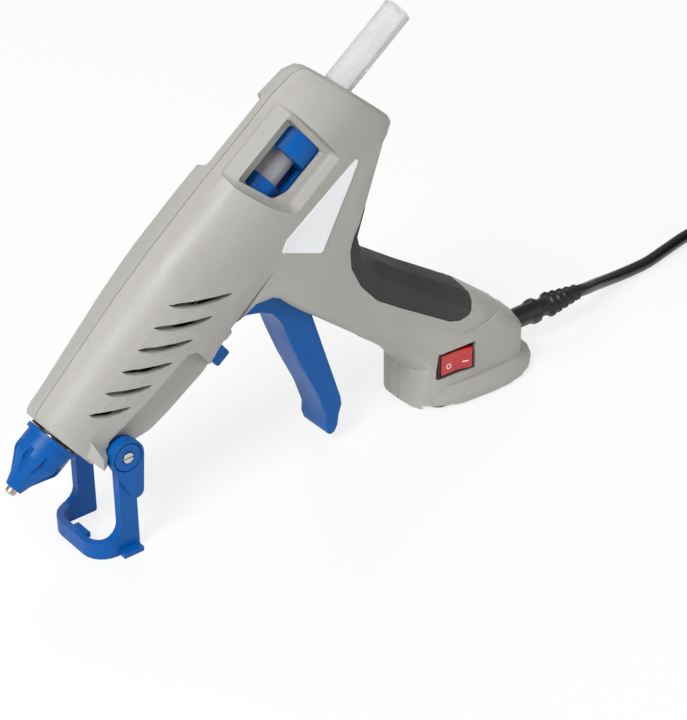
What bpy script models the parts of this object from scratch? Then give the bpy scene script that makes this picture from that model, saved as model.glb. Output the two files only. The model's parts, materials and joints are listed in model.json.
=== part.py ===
"""Hot glue gun with a fold-away stand, built piece by piece at real size.

Metres, +Z up. The gun stands on its base and its stand with the nozzle towards -X. The origin is on the
underside of the foot pad, in the middle plane, below the switch. Barrel pieces are drawn in the barrel's own
frame: local X runs from the nozzle's tip along the glue stick, local Z points up out of the barrel's top.
"""

import math

import bmesh
import bpy
import numpy as np
from mathutils import Matrix, Vector

# Clearances and common walls
GAP = 0.0003  # left between pieces that touch
MM = 0.001
RUN = 0.0004  # radial or side clearance of a piece that moves
WALL = 0.0024  # moulded housing
OVERRUN = 0.006  # how far a cutter passes what it cuts
SINK = 0.0008  # how far shapes that become one piece reach into each other
FINE = 0.6  # share of an edge radius that small pieces take

# Barrel: where its axis starts, how it slopes and how long it is
TIP_X = -0.21264
TIP_Z = 0.03503
BARREL_TILT = math.radians(37.43)
BARREL_FRONT = 0.027  # nozzle tip to the housing's front face
BARREL_LENGTH = 0.165
BARREL_TOP = 0.0225
BARREL_BOTTOM = 0.0275
BARREL_HALF_WIDTH = 0.0195

# Handle: its slope, its foot on the underside line, and its section
HANDLE_TILT = math.radians(34.6)
HANDLE_FOOT_X = -0.03075
HANDLE_FOOT_Z = 0.0245
HANDLE_LENGTH = 0.100
HANDLE_DEPTH = 0.0365
HANDLE_HALF_WIDTH = 0.0170

# Base
BASE_FRONT_X = -0.0273
BASE_REAR_X = 0.0330
BASE_HEIGHT = 0.0330
BASE_HALF_WIDTH = 0.0182
BASE_TAPER = 0.06
FOOT_REAR_X = 0.0402
FOOT_HALF_WIDTH = 0.0222
FOOT_HEIGHT = 0.0055
FOOT_SCOOP = 0.0045
FOOT_TAPER = 0.07
PAD_THICKNESS = 0.0016
PAD_PROUD = 0.0005

# Glue stick and what it runs through
STICK_RADIUS = 0.00575
STICK_FRONT = 0.086
STICK_END = 0.232
BORE_RADIUS = STICK_RADIUS + RUN

# Nozzle, shield and melt chamber, as places along the barrel
NOZZLE_TIP_RADIUS = 0.00215
NOZZLE_HOLE_RADIUS = 0.0010
SHIELD_FRONT = 0.0024
SHIELD_SHOULDER = 0.0150
SHIELD_REAR = 0.0256
SHIELD_TIP_RADIUS = 0.0034
SHIELD_RADIUS = 0.0097
SHIELD_FLANGE_RADIUS = 0.0109
SHIELD_FLANGE = 0.0018
SHIELD_WALL = 0.0021
NOZZLE_COLLAR_RADIUS = 0.0066
FLUTE_RUN = 0.0036
FLUTES = 8
FLUTE_RADIUS = 0.0013
FRONT_RING_RADIUS = 0.0102
FRONT_RING_LENGTH = 0.0052
CHAMBER_RADIUS = 0.0080
CHAMBER_FRONT = 0.0314
CHAMBER_REAR = 0.098
CHAMBER_BORE_FRONT = 0.042
CHAMBER_THREAD_RADIUS = 0.0046
CHAMBER_CONE = 0.0040
CHAMBER_FLAT = 0.0083
MOUNT_PLACES = (0.0355, 0.0930)
MOUNT_RADIUS = 0.0111
MOUNT_WIDTH = 0.0060
MOUNT_GROOVE = 0.0012
MOUNT_RIB = 0.0028
LEAD_HOLE_SIDE = 0.0134
HEATER_LENGTH = 0.038
HEATER_HEIGHT = 0.010
HEATER_THICKNESS = 0.0030
HEATER_MIDDLE = 0.066
CLIP_WIDTH = 0.012
CLIP_THICKNESS = 0.0008
FUSE_RADIUS = 0.0016
FUSE_LENGTH = 0.0095
SLEEVE_LENGTH = 0.0105
SLEEVE_THICKNESS = 0.0026

# Feed carriage and the trigger that moves it
CARRIAGE_FRONT = 0.1180
CARRIAGE_SLEEVE_REAR = 0.1495
CARRIAGE_SLEEVE_RADIUS = 0.0082
CARRIAGE_RING_FRONT = 0.1610
CARRIAGE_RING_REAR = 0.1790
CARRIAGE_RING_RADIUS = 0.0113
CARRIAGE_SPINE_HALF = 0.0050
CARRIAGE_SPINE_THICKNESS = 0.0030
CARRIAGE_PIN_PLACE = 0.1237
CARRIAGE_PIN_RADIUS = 0.0017
CHANNEL_RADIUS = CARRIAGE_RING_RADIUS + 1.5 * RUN
CHANNEL_DEPTH = RUN
GUIDE_FRONT = 0.1810
GUIDE_LENGTH = 0.0105
GUIDE_RADIUS = 0.0092

TRIGGER_PIVOT_PLACE = 0.1200
TRIGGER_PIVOT_DEPTH = 0.0236  # below the stick's axis
TRIGGER_HALF_WIDTH = 0.0090
TRIGGER_HUB_RADIUS = 0.0052
TRIGGER_PIN_RADIUS = 0.0020
TRIGGER_PIN_HALF = 0.0152
TRIGGER_LENGTH = 0.08454  # pivot down to the tip
TRIGGER_ROUND = 0.0016
YOKE_INNER = 0.0092
YOKE_THICKNESS = 0.0026
YOKE_HALF_WIDTH = 0.0042
SLOT_CLEAR = 0.0006
TRIGGER_SPRING_X = -0.0880
TRIGGER_SPRING_FOOT = 0.0862
TRIGGER_SPRING_TOP = 0.0998
TRIGGER_SPRING_RADIUS = 0.0031
SPRING_WIRE = 0.00045
SPRING_TURNS = 5
SPRING_SEAT_HALF = 0.0050

# Stand
STAND_PIVOT_PLACE = 0.0373
STAND_PIVOT_DEPTH = 0.0178
STAND_INNER = 0.0130
STAND_THICKNESS = 0.0041
STAND_HEAD_RADIUS = 0.0071
STAND_PAD_PROUD = 0.0020
STAND_PAD_LENGTH = 0.0163  # pivot to the middle of the pad's tip
STAND_PAD_TIP_RADIUS = 0.0030
STAND_LEG_WIDTH = 0.0076
STAND_BAND_REACH = 0.0160  # pivot to the band's front face, along X
STAND_BAND_HEIGHT = 0.0070
STAND_BAND_THICKNESS = 0.0028
STAND_CORNER = 0.0095
STAND_FOOT_PROUD = 0.0032
STAND_FOOT_HEIGHT = 0.0022
STAND_TAB_HALF = 0.0042
STAND_TAB_REACH = 0.0032
STAND_EDGE = 0.0007
BUSH_RADIUS = 0.0050
BUSH_SCREW_RADIUS = 0.0013
BUSH_SCREW_HEAD_RADIUS = 0.0022
BUSH_SCREW_HEAD_HEIGHT = 0.0014
BUSH_SCREW_LENGTH = 0.0125
BUSH_BOSS_RADIUS = 0.0042
BUSH_BOSS_END = 0.0045  # inner end, from the middle plane
BUSH_CAP_RADIUS = 0.0057
BUSH_CAP = 0.0011

# Catch under the barrel
CATCH_PLACE = 0.0888
CATCH_HALF_LENGTH = 0.0037
CATCH_HALF_WIDTH = 0.0105
CATCH_BOTTOM = 0.0342  # below the axis
CATCH_TOP = 0.0230
CATCH_LEDGE = 0.0252
CATCH_CEILING = 0.0206
CATCH_LIP = 0.0014
CATCH_TRAVEL = 0.0020
CATCH_POCKET = 0.0070  # for its spring, deep
CATCH_SPRING_TURNS = 3
CATCH_ROUND = 0.0018
BULGE_HALF_WIDTH = 0.0155
BULGE_DEPTH = 0.0238
BULGE_LENGTH = 0.0054

# Window, louvres and stand recess in the housing
WINDOW_FRONT = 0.1410
WINDOW_REAR = 0.1705
WINDOW_TOP = 0.0175
WINDOW_BOTTOM = 0.0035  # below the axis
WINDOW_MARGIN = 0.0024
WINDOW_RIDGE_HALF = 0.0042
WINDOW_SHOULDER_HALF = 0.0092
WINDOW_FLOOR_HALF = 0.0142
WINDOW_HOLE_INNER = 0.0050
WINDOW_RAKE = 0.0090
WINDOW_ROUND = 0.0016
LOUVRES = 6
LOUVRE_FIRST_PLACE = 0.0460
LOUVRE_LAST_PLACE = 0.0985
LOUVRE_FIRST_HEIGHT = 0.0005
LOUVRE_LAST_HEIGHT = 0.0024
LOUVRE_SHORT = 0.0165
LOUVRE_LONG = 0.0270
LOUVRE_DEEP = 0.0030
LOUVRE_FALL = math.radians(8.8)
RECESS_FRONT = 0.0290
RECESS_REAR = 0.0835
RECESS_RAKE = 0.0030
RECESS_TOP = 0.0088# below the axis
RECESS_FLOOR = STAND_INNER - RUN
FAIRING_HEIGHT = 0.0066  # how far the fairing in front of a stand head stands out of the recess's floor
RIB = 0.0030  # ribs inside the housing
SEAM = 0.0003  # between the two halves
MERGE = 1e-6

# Switch
SWITCH_X = -0.0104
SWITCH_Z = 0.0208
SWITCH_LENGTH = 0.0185
SWITCH_HEIGHT = 0.0122
SWITCH_DEPTH = 0.0140
SWITCH_FACE = 0.0166  # how far its outer edge stands from the middle plane
SWITCH_WALL = 0.0010
SWITCH_WELL = 0.0085
ROCKER_TILT = math.radians(8.0)
ROCKER_AXIS = 0.0134  # from the middle plane
ROCKER_FACE = 0.0036  # from its axis out to the middle of its face
ROCKER_DEPTH = 0.0034
ROCKER_RAISED_SHARE = 0.93  # its raised half is shorter, to swing past the wall
ROCKER_PIVOT_RADIUS = 0.0011
ROCKER_PIVOT_LENGTH = 0.0007

# Grip
GRIP_PROUD = 0.0004
GRIP_DEPTH = 0.0020

# Housing screws: place and height as shares of the barrel's and the handle's sizes
BARREL_SCREW_SHARES = ((0.618, -0.760), (0.776, 0.556), (1.042, -0.978))
HANDLE_SCREW_SHARES = ((0.674, 0.730), (0.080, 0.240), (-0.441, 0.314))
SCREW_RADIUS = 0.0014
SCREW_HEAD_RADIUS = 0.0030
SCREW_HEAD_HEIGHT = 0.0022
SCREW_BOSS_RADIUS = 0.0034
SCREW_LENGTH = 0.0200
SCREW_SINK = 0.0036  # head's seat below the handle's side

# Rubber foot
PAD_MARGIN = 0.0030
PAD_ROUND = 0.0060

# Cord
CORD_RADIUS = 0.0028
CORD_Z = 0.0147
BOOT_FLANGE_X = 0.0265
BOOT_INSIDE = 0.0040
BOOT_WALL = 0.0022
BOOT_BLOCK_HALF = 0.0088
BOOT_FLANGE_RADIUS = 0.0062
BOOT_NECK_RADIUS = 0.0047
BOOT_COLLAR_RADIUS = 0.0057
BOOT_END_RADIUS = 0.0031
BOOT_COLLAR_X = 0.0490
BOOT_RADIUS_RUN = 0.0045
BOOT_END_X = 0.0690
BOOT_RIBS = 5
BOOT_ROUND = 12

CORD_START_X = 0.0135
CLAMP_X = 0.0190
CLAMP_HALF = 0.0028
CLAMP_REACH = 0.0094  # from the cord's middle to the clamp's ends
CLAMP_THICKNESS = 0.0022
CLAMP_SCREW_OFFSET = 0.0064
CLAMP_SCREW_LENGTH = 0.0095
CLAMP_SCREW_RADIUS = 0.0011
LEAD_RADIUS = 0.0008
# Way of a lead: along and above the handle, and sideways; then along and above the barrel's axis
LEAD_SHARES = (
    (-0.10, 0.42, 0.10),
    (0.10, 0.52, 0.35),
    (0.30, 0.52, 0.55),
    (0.48, 0.60, 0.65),
    (0.64, 0.84, 0.78),
    (0.735, 1.02, 0.82),
    (0.835, 1.13, 0.82),
)
LEAD_BARREL_SHARES = (
    (0.891, -0.81, 0.80),
    (0.842, -0.81, 0.86),
    (0.776, -0.58, 1.00),
    (0.703, -0.22, 1.00),
    (0.630, 0.00, 1.00),
    (0.564, 0.00, 1.00),
    (0.548, 0.00, 0.96),
)

# Route of the cord from the end of its strain relief to the coil: (x, y, z)
CORD_ROUTE = (
    (0.0745, 0.0003, 0.0145),
    (0.0830, 0.0028, 0.0119),
    (0.0913, 0.0059, 0.0094),
    (0.1060, 0.0098, 0.0056),
    (0.1207, 0.0120, 0.0036),
    (0.1318, 0.0132, 0.0031),
    (0.1455, 0.0161, 0.0030),
    (0.1637, 0.0194, 0.0032),
    (0.1780, 0.0189, 0.0036),
    (0.1860, 0.0173, 0.0039),
    (0.1910, 0.0165, 0.0040),
)
TAIL_ROUTE = (
    (0.2145, 0.0165, 0.0232),
    (0.2210, 0.0164, 0.0250),
    (0.2280, 0.0155, 0.0284),
    (0.2345, 0.0129, 0.0299),
    (0.2410, 0.0067, 0.0301),
    (0.2450, -0.0040, 0.0301),
    (0.2436, -0.0155, 0.0301),
    (0.2380, -0.0237, 0.0305),
    (0.2305, -0.0286, 0.0316),
    (0.2235, -0.0300, 0.0328),
    (0.2180, -0.0300, 0.03315),
)

# Long coil of the rest of the cord, its tie, and the plug on it
COIL_X = 0.2030
COIL_Y = -0.0125
COIL_Z = 0.0040  # middle of its lowest layer
COIL_RUN = 0.0380  # straight run between its round ends
RUN_SHARE = 4
COIL_INNER = 0.0178
COIL_STEP = 0.0064
COIL_LAYERS = 4
COIL_TURNS = 7
COIL_POINTS = 24  # in each turn
CLIMB_TURNS = 0.5
TIE_HALF_WIDTH = 0.0030
TIE_THICKNESS = 0.0008
TIE_ANGLE = math.radians(180)
PLUG_X = 0.2161  # where the cord goes in
PLUG_Y = -0.0300
PLUG_Z = 0.03315
PLUG_LENGTH = 0.0360
PLUG_HALF_WIDTH = 0.01765
PLUG_HALF_HEIGHT = 0.00685
PLUG_ROUND = 0.0022
PIN_RADIUS = 0.0020
PIN_LENGTH = 0.0190
PIN_OFFSET = 0.0093
PIN_SEAT = 0.0060

ROUND = 28  # sides of a large turned piece
SMALL_ROUND = 16
FLAT_WITHIN = 1.2  # degrees: faces this near to one plane are merged
HIDDEN_ROUND = 10  # sides of small round parts inside
RING_POINTS = 24  # points round one section of the housing, half as many inside

# Corners of the fairing: back from the barrel's front, out from the recess and down from the axis
FAIRING_SHARES = (
    (0.93, 0.30, 0.06),
    (0.13, 0.10, 0.30),
    (0.13, 0.85, 0.72),
    (0.15, -0.10, 1.05),
    (0.55, 0.95, 0.48),
    (1.20, -0.10, 0.00),
    (1.37, -0.10, 1.00),
)

# Depth shares of the lens of a louvre, from its left end
LOUVRE_SHARES = (
    (-0.500, 0.10),
    (-0.420, -0.28),
    (-0.250, -0.50),
    (0.000, -0.56),
    (0.250, -0.36),
    (0.430, 0.00),
    (0.500, 0.34),
    (0.420, 0.44),
    (0.200, 0.42),
    (-0.100, 0.36),
    (-0.350, 0.30),
)

# Side view of the trigger from its pivot, as shares of its length: hood, finger side, tip, back, shelf
TRIGGER_SHARES = (
    (0.388, -1.004),
    (0.380, -0.988),
    (0.368, -0.949),
    (0.371, -0.893),
    (0.323, -0.750),
    (0.230, -0.554),
    (0.161, -0.382),
    (0.126, -0.281),
    (0.076, -0.212),
    (0.009, -0.177),
    (-0.074, -0.159),
    (-0.163, -0.177),
    (-0.183, -0.153),
    (-0.114, -0.088),
    (-0.048, -0.029),
    (0.048, 0.029),
    (0.106, -0.043),
    (0.248, -0.045),
    (0.290, -0.265),
    (0.460, -0.805),
    (0.465, -0.852),
    (0.448, -0.901),
    (0.439, -0.959),
    (0.420, -0.993),
)

# Side view of the slot for the trigger, as shares of the handle's length from its foot
SLOT_SHARES = (
    (-0.897, 0.317),
    (-0.894, 0.562),
    (-0.823, 0.667),
    (-0.722, 0.736),
    (-0.582, 0.754),
    (-0.444, 0.563),
    (-0.346, 0.422),
    (-0.228, 0.220),
    (-0.229, 0.060),
)

COLOURS = {
    "housing_grey": ((0.38, 0.37, 0.34), 0.55, 0.0),
    "grip_black": ((0.05, 0.048, 0.048), 0.75, 0.0),
    "blue": ((0.0, 0.09, 0.42), 0.4, 0.0),
    "metal": ((0.7, 0.7, 0.7), 0.3, 1.0),
    "black": ((0.02, 0.02, 0.02), 0.6, 0.0),
    "clear": ((0.8, 0.8, 0.78), 0.3, 0.0),
    "red": ((0.45, 0.01, 0.01), 0.3, 0.0),
    "silicone": ((0.55, 0.16, 0.08), 0.6, 0.0),
    "ceramic": ((0.75, 0.73, 0.68), 0.7, 0.0),
}

# Helpers


def clear_scene():
    for item in list(bpy.data.objects):
        bpy.data.objects.remove(item)


def material(slot):
    colour, roughness, metallic = COLOURS[slot]
    made = bpy.data.materials.get(slot) or bpy.data.materials.new(slot)
    made.use_nodes = True
    shader = made.node_tree.nodes["Principled BSDF"]
    shader.inputs["Base Color"].default_value = (*colour, 1.0)
    shader.inputs["Roughness"].default_value = roughness
    shader.inputs["Metallic"].default_value = metallic
    return made


def frame_at(name, place, tilt=0.0):
    """An empty whose local X rises by tilt from the world's X, about Y."""
    empty = bpy.data.objects.new(name, None)
    empty.location = place
    empty.rotation_euler = (0.0, -tilt, 0.0)
    bpy.context.scene.collection.objects.link(empty)
    return empty


def on_barrel(place, height, side=0.0):
    """World point at a place along the glue stick's axis and a height above it."""
    cos, sin = math.cos(BARREL_TILT), math.sin(BARREL_TILT)
    return Vector((TIP_X + place * cos - height * sin, side, TIP_Z + place * sin + height * cos))


def on_handle(along, above, side=0.0):
    """World point along the handle, from the base upwards, and above its underside line."""
    cos, sin = math.cos(HANDLE_TILT), math.sin(HANDLE_TILT)
    return Vector(
        (HANDLE_FOOT_X - along * cos + above * sin, side, HANDLE_FOOT_Z + along * sin + above * cos)
    )


def solid(name, shape, frame=None):
    """An object from a bmesh, with its faces pointing out, in the frame of its parent."""
    bmesh.ops.recalc_face_normals(shape, faces=shape.faces)
    mesh = bpy.data.meshes.new(name)
    shape.to_mesh(mesh)
    shape.free()
    piece = bpy.data.objects.new(name, mesh)
    bpy.context.scene.collection.objects.link(piece)
    piece.parent = frame
    return piece


def finished(piece, name, slot):
    """Names a finished piece, gives it its material and shades its round faces smooth."""
    piece.name = name
    piece.data.name = name
    piece.data.materials.clear()
    piece.data.materials.append(material(slot))
    piece.data.shade_smooth()
    piece.data.set_sharp_from_angle(angle=math.radians(35))
    return piece


def bake(piece):
    """Replaces the piece's mesh by what its modifiers make of it."""
    bpy.context.view_layer.update()
    graph = bpy.context.evaluated_depsgraph_get()
    made = bpy.data.meshes.new_from_object(piece.evaluated_get(graph))
    piece.modifiers.clear()
    piece.data = made
    return piece


def combine(piece, operation, others):
    for other in others:
        modifier = piece.modifiers.new(operation, "BOOLEAN")
        modifier.operation = operation
        modifier.object = other
    bake(piece)
    for other in others:
        bpy.data.objects.remove(other)
    return piece


def cut(piece, *others):
    return combine(piece, "DIFFERENCE", others)


def join(piece, *others):
    return combine(piece, "UNION", others)


def common(piece, *others):
    return combine(piece, "INTERSECT", others)


def soften(piece, width, segments=2, angle=35.0):
    bevel = piece.modifiers.new("Edges", "BEVEL")
    bevel.width = width
    bevel.segments = segments
    bevel.limit_method = "ANGLE"
    bevel.angle_limit = math.radians(angle)
    return bake(piece)


def simplify(piece):
    """Merges faces that a Boolean left in one plane or nearly so."""
    shape = bmesh.new()
    shape.from_mesh(piece.data)
    bmesh.ops.dissolve_limit(shape, angle_limit=math.radians(FLAT_WITHIN), verts=shape.verts, edges=shape.edges)
    bmesh.ops.triangulate(shape, faces=shape.faces)
    shape.to_mesh(piece.data)
    shape.free()
    return piece


def copy_of(piece):
    twin = piece.copy()
    twin.data = piece.data.copy()
    bpy.context.scene.collection.objects.link(twin)
    return twin


def block(low, high, frame=None):
    shape = bmesh.new()
    low, high = Vector(low), Vector(high)
    bmesh.ops.create_cube(shape, size=1.0, matrix=Matrix.LocRotScale((low + high) / 2, None, high - low))
    return solid("block", shape, frame)


def prism(outline, low, high, frame=None):
    """An outline of (x, z) points, drawn out along Y from low to high."""
    shape = bmesh.new()
    face = shape.faces.new([shape.verts.new((x, low, z)) for x, z in outline])
    grown = bmesh.ops.extrude_face_region(shape, geom=[face])
    moved = [item for item in grown["geom"] if isinstance(item, bmesh.types.BMVert)]
    bmesh.ops.translate(shape, verts=moved, vec=(0.0, high - low, 0.0))
    return solid("prism", shape, frame)


def plate(outline, low, high, frame=None):
    """An outline of (x, y) points, drawn out along Z from low to high."""
    shape = bmesh.new()
    face = shape.faces.new([shape.verts.new((x, y, low)) for x, y in outline])
    grown = bmesh.ops.extrude_face_region(shape, geom=[face])
    moved = [item for item in grown["geom"] if isinstance(item, bmesh.types.BMVert)]
    bmesh.ops.translate(shape, verts=moved, vec=(0.0, 0.0, high - low))
    return solid("plate", shape, frame)


def turned(profile, sides=ROUND, frame=None, centre=(0.0, 0.0)):
    """A profile of (x, radius) points turned about X; it closes on itself unless it starts on the axis."""
    shape = bmesh.new()
    points = [shape.verts.new((x, centre[0], centre[1] + radius)) for x, radius in profile]
    pairs = list(zip(points, points[1:]))
    if profile[0][1] > 0:
        pairs.append((points[-1], points[0]))
    edges = [shape.edges.new(pair) for pair in pairs]
    bmesh.ops.spin(
        shape,
        geom=points + edges,
        cent=(0.0, centre[0], centre[1]),
        axis=(1.0, 0.0, 0.0),
        angle=math.tau,
        steps=sides,
        use_merge=True,
    )
    bmesh.ops.remove_doubles(shape, verts=shape.verts, dist=MERGE)
    return solid("turned", shape, frame)


def rod(start, end, radius, sides=SMALL_ROUND, frame=None):
    """A round bar between two points."""
    start, end = Vector(start), Vector(end)
    shape = bmesh.new()
    turn = (end - start).to_track_quat("Z", "Y")
    bmesh.ops.create_cone(
        shape,
        cap_ends=True,
        segments=sides,
        radius1=radius,
        radius2=radius,
        depth=(end - start).length,
        matrix=Matrix.LocRotScale((start + end) / 2, turn, None),
    )
    return solid("rod", shape, frame)


def ring_of(inner, outer, start, end, sides=ROUND, frame=None):
    return turned([(start, inner), (start, outer), (end, outer), (end, inner)], sides, frame)


def arc(centre, radius, first, last, steps):
    """Points (a, b) on a circle from the first to the last angle, in degrees."""
    angles = [math.radians(first + (last - first) * i / steps) for i in range(steps + 1)]
    return [(centre[0] + radius * math.cos(a), centre[1] + radius * math.sin(a)) for a in angles]


def hull(points, frame=None):
    shape = bmesh.new()
    for point in points:
        shape.verts.new(point)
    made = bmesh.ops.convex_hull(shape, input=shape.verts)
    bmesh.ops.delete(shape, geom=list({*made["geom_interior"], *made["geom_unused"]}), context="VERTS")
    return solid("hull", shape, frame)


def section(lower, upper, half_width, squareness, taper=0.0, inset=0.0, waist=0.5):
    """A ring round the line from lower to upper; its halves are oval at squareness 2 and squarer above it."""
    middle = lower.lerp(upper, waist)
    along = (upper - lower).normalized()
    reach = ((middle - lower).length - inset, (upper - middle).length - inset)
    side = half_width - inset
    ring = []
    count = RING_POINTS // 2 if inset else RING_POINTS
    for i in range(count):
        angle = math.tau * i / count
        power = 2 / squareness[math.cos(angle) > 0]
        up = math.copysign(abs(math.cos(angle)) ** power, math.cos(angle))
        out = math.copysign(abs(math.sin(angle)) ** power, math.sin(angle))
        ring.append(middle + along * reach[up > 0] * up + Vector((0.0, side * out * (1 + taper * up), 0.0)))
    return ring


def loft(rings, frame=None):
    """A skin over rings of as many points, closed at both ends."""
    shape = bmesh.new()
    rows = [[shape.verts.new(point) for point in ring] for ring in rings]
    for row, after in zip(rows, rows[1:]):
        for i in range(len(row)):
            j = (i + 1) % len(row)
            shape.faces.new((row[i], row[j], after[j], after[i]))
    shape.faces.new(rows[0])
    shape.faces.new(reversed(rows[-1]))
    bmesh.ops.triangulate(shape, faces=shape.faces)
    return solid("loft", shape, frame)


# Housing forms


# Place and height of the top line, place and depth of the bottom line, half width, squareness below and above
BARREL_SHARES = (
    (0.000, 0.56, 0.000, 0.58, 0.720, 3.0, 2.0),
    (0.007, 0.62, 0.006, 0.64, 0.745, 3.0, 2.0),
    (0.024, 0.66, 0.022, 0.70, 0.770, 3.2, 2.0),
    (0.079, 0.70, 0.079, 0.82, 0.800, 3.5, 2.0),
    (0.140, 0.75, 0.140, 0.93, 0.860, 4.5, 2.0),
    (0.200, 0.80, 0.200, 0.96, 0.925, 5.0, 2.0),
    (0.320, 0.90, 0.320, 1.00, 0.985, 5.0, 2.15),
    (0.382, 0.93, 0.382, 1.00, 1.000, 3.4, 2.25),
    (0.442, 0.96, 0.442, 0.98, 1.000, 2.9, 2.35),
    (0.594, 1.00, 0.594, 1.02, 1.010, 3.0, 2.3),
    (0.776, 1.00, 0.780, 1.03, 0.990, 3.0, 2.3),
    (0.890, 1.01, 0.930, 1.04, 0.970, 3.0, 2.0),
    (0.955, 0.96, 1.015, 1.065, 0.940, 3.0, 2.0),
    (0.985, 0.83, 1.045, 1.03, 0.870, 2.8, 2.0),
    (0.997, 0.68, 1.050, 0.89, 0.770, 2.6, 2.0),
)

# Lower point along and above the handle, upper point along and above it, half width, squareness below and above
HANDLE_SHARES = (
    (1.036, -0.20, 0.92, 2.24, 1.06, 6.0, 5.0),
    (1.00, 0.05, 0.89, 2.28, 1.08, 7.0, 5.0),
    (0.92, 0.22, 0.84, 2.33, 1.09, 8.0, 5.0),
    (0.86, 0.24, 0.80, 2.33, 1.10, 8.0, 4.8),
    (0.80, 0.21, 0.76, 2.32, 1.10, 8.0, 4.5),
    (0.72, 0.19, 0.715, 1.78, 1.09, 8.0, 4.0),
    (0.60, 0.165, 0.68, 1.33, 1.06, 6.0, 3.5),
    (0.48, 0.137, 0.59, 1.08, 1.03, 4.5, 3.0),
    (0.36, 0.10, 0.45, 1.00, 1.00, 3.5, 2.7),
    (0.20, 0.065, 0.22, 1.005, 0.99, 3.0, 2.7),
    (0.06, 0.02, 0.00, 1.03, 1.02, 3.0, 2.7),
    (-0.08, -0.10, -0.20, 1.04, 1.05, 3.0, 2.9),
    (-0.20, -0.36, -0.38, 1.01, 1.06, 3.0, 3.0),
)


def barrel_form(inset=0.0):
    front, length = BARREL_FRONT + inset, BARREL_LENGTH - 2 * inset
    rings = []
    for top_place, top, bottom_place, bottom, width, *squareness in BARREL_SHARES:
        lower = on_barrel(front + bottom_place * length, -bottom * BARREL_BOTTOM)
        upper = on_barrel(front + top_place * length, top * BARREL_TOP)
        waist = bottom * BARREL_BOTTOM / (bottom * BARREL_BOTTOM + top * BARREL_TOP)
        rings.append(section(lower, upper, width * BARREL_HALF_WIDTH, squareness, inset=inset, waist=waist))
    return loft(rings)


def handle_form(inset=0.0):
    rings = []
    for low_along, low_above, high_along, high_above, width, *squareness in HANDLE_SHARES:
        lower = on_handle(low_along * HANDLE_LENGTH, low_above * HANDLE_DEPTH)
        upper = on_handle(high_along * HANDLE_LENGTH, high_above * HANDLE_DEPTH)
        rings.append(section(lower, upper, width * HANDLE_HALF_WIDTH, squareness, inset=inset))
    return loft(rings)


def base_form(inset=0.0):
    """The wall of the base, from its foot up into the handle."""
    heights = (PAD_PROUD + inset, BASE_HEIGHT * 0.62 - inset, BASE_HEIGHT * 0.82 - inset, BASE_HEIGHT - inset)
    rears = (1.0, 1.0, 0.86, 0.62)
    corners = (3.0, 3.0, 2.6, 2.4)
    rings = []
    for height, rear, corner in zip(heights, rears, corners):
        front = Vector((BASE_FRONT_X, 0.0, height))
        back = Vector((BASE_REAR_X * rear, 0.0, height))
        rings.append(section(front, back, BASE_HALF_WIDTH, (4.0, corner), BASE_TAPER, inset))
    return loft(rings)


def foot_form():
    """The flared foot, with a small edge below and a scoop above."""
    edge = 0.14 * FOOT_HEIGHT
    steps = (
        (PAD_PROUD, 0.94, 0.8),
        (PAD_PROUD + edge, 0.985, 0.95),
        (FOOT_HEIGHT * 0.6, 1.0, 1.0),
        (FOOT_HEIGHT * 0.92, 0.985, 0.95),
        (FOOT_HEIGHT + FOOT_SCOOP * 0.35, 0.93, 0.6),
        (FOOT_HEIGHT + FOOT_SCOOP, 0.885, 0.1),
    )
    rings = []
    for height, width, reach in steps:
        front = Vector((BASE_FRONT_X + (1 - reach) * FOOT_HEIGHT * 0.2, 0.0, height))
        back = Vector((BASE_REAR_X + (FOOT_REAR_X - BASE_REAR_X) * reach, 0.0, height))
        rings.append(section(front, back, FOOT_HALF_WIDTH * width, (3.0, 2.2), FOOT_TAPER))
    return loft(rings)


def stretched(shares, size, start=(0.0, 0.0)):
    """Points from shares of one size, counted from a start."""
    return [(start[0] + a * size, start[1] + b * size) for a, b in shares]


def both_sides(make):
    return [make(-1), make(1)]


def span(side, inner, outer):
    """The lower and the upper y of a slab on one side."""
    return (inner, outer) if side > 0 else (-outer, -inner)


def across(side, inner, outer, place, height, radius, frame, sides=SMALL_ROUND):
    """A round bar along Y on one side of the middle plane."""
    return rod((place, side * inner, height), (place, side * outer, height), radius, sides, frame)


# Grip's edge on the side of the handle, as shares of the handle's length from its foot
GRIP_SHARES = (
    (-0.118, 1.151),
    (-0.146, 1.110),
    (-0.194, 1.012),
    (-0.253, 0.883),
    (-0.337, 0.739),
    (-0.353, 0.684),
    (-0.346, 0.604),
    (-0.295, 0.503),
    (-0.211, 0.407),
    (-0.097, 0.331),
    (0.062, 0.231),
    (0.162, 0.170),
    (0.220, 0.151),
    (0.272, 0.157),
    (0.312, 0.193),
    (0.320, 0.237),
    (0.303, 0.282),
    (0.265, 0.327),
    (0.425, 0.496),
    (0.309, 0.897),
    (0.113, 1.249),
)


def grip_region(margin=0.0):
    """What the grip covers: everything behind and above its edge on the handle's side."""
    middle_x = HANDLE_FOOT_X + 0.1 * HANDLE_LENGTH
    middle_z = HANDLE_FOOT_Z + 0.75 * HANDLE_LENGTH
    points = []
    for x, z in stretched(GRIP_SHARES, HANDLE_LENGTH, (HANDLE_FOOT_X, HANDLE_FOOT_Z)):
        away = Vector((x - middle_x, z - middle_z))
        away = away * (1 + margin / away.length)
        points.append((middle_x + away.x, middle_z + away.y))
    return prism(points, -BARREL_HALF_WIDTH - OVERRUN, BARREL_HALF_WIDTH + OVERRUN)


def build_grip():
    """Soft skin over the back of the handle and neck, in one piece across the seam."""
    skin = common(handle_form(-GRIP_PROUD), grip_region())
    skin = cut(skin, handle_form(GRIP_DEPTH))
    return finished(skin, "soft_grip", "grip_black")


# Hollow of the housing


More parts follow.
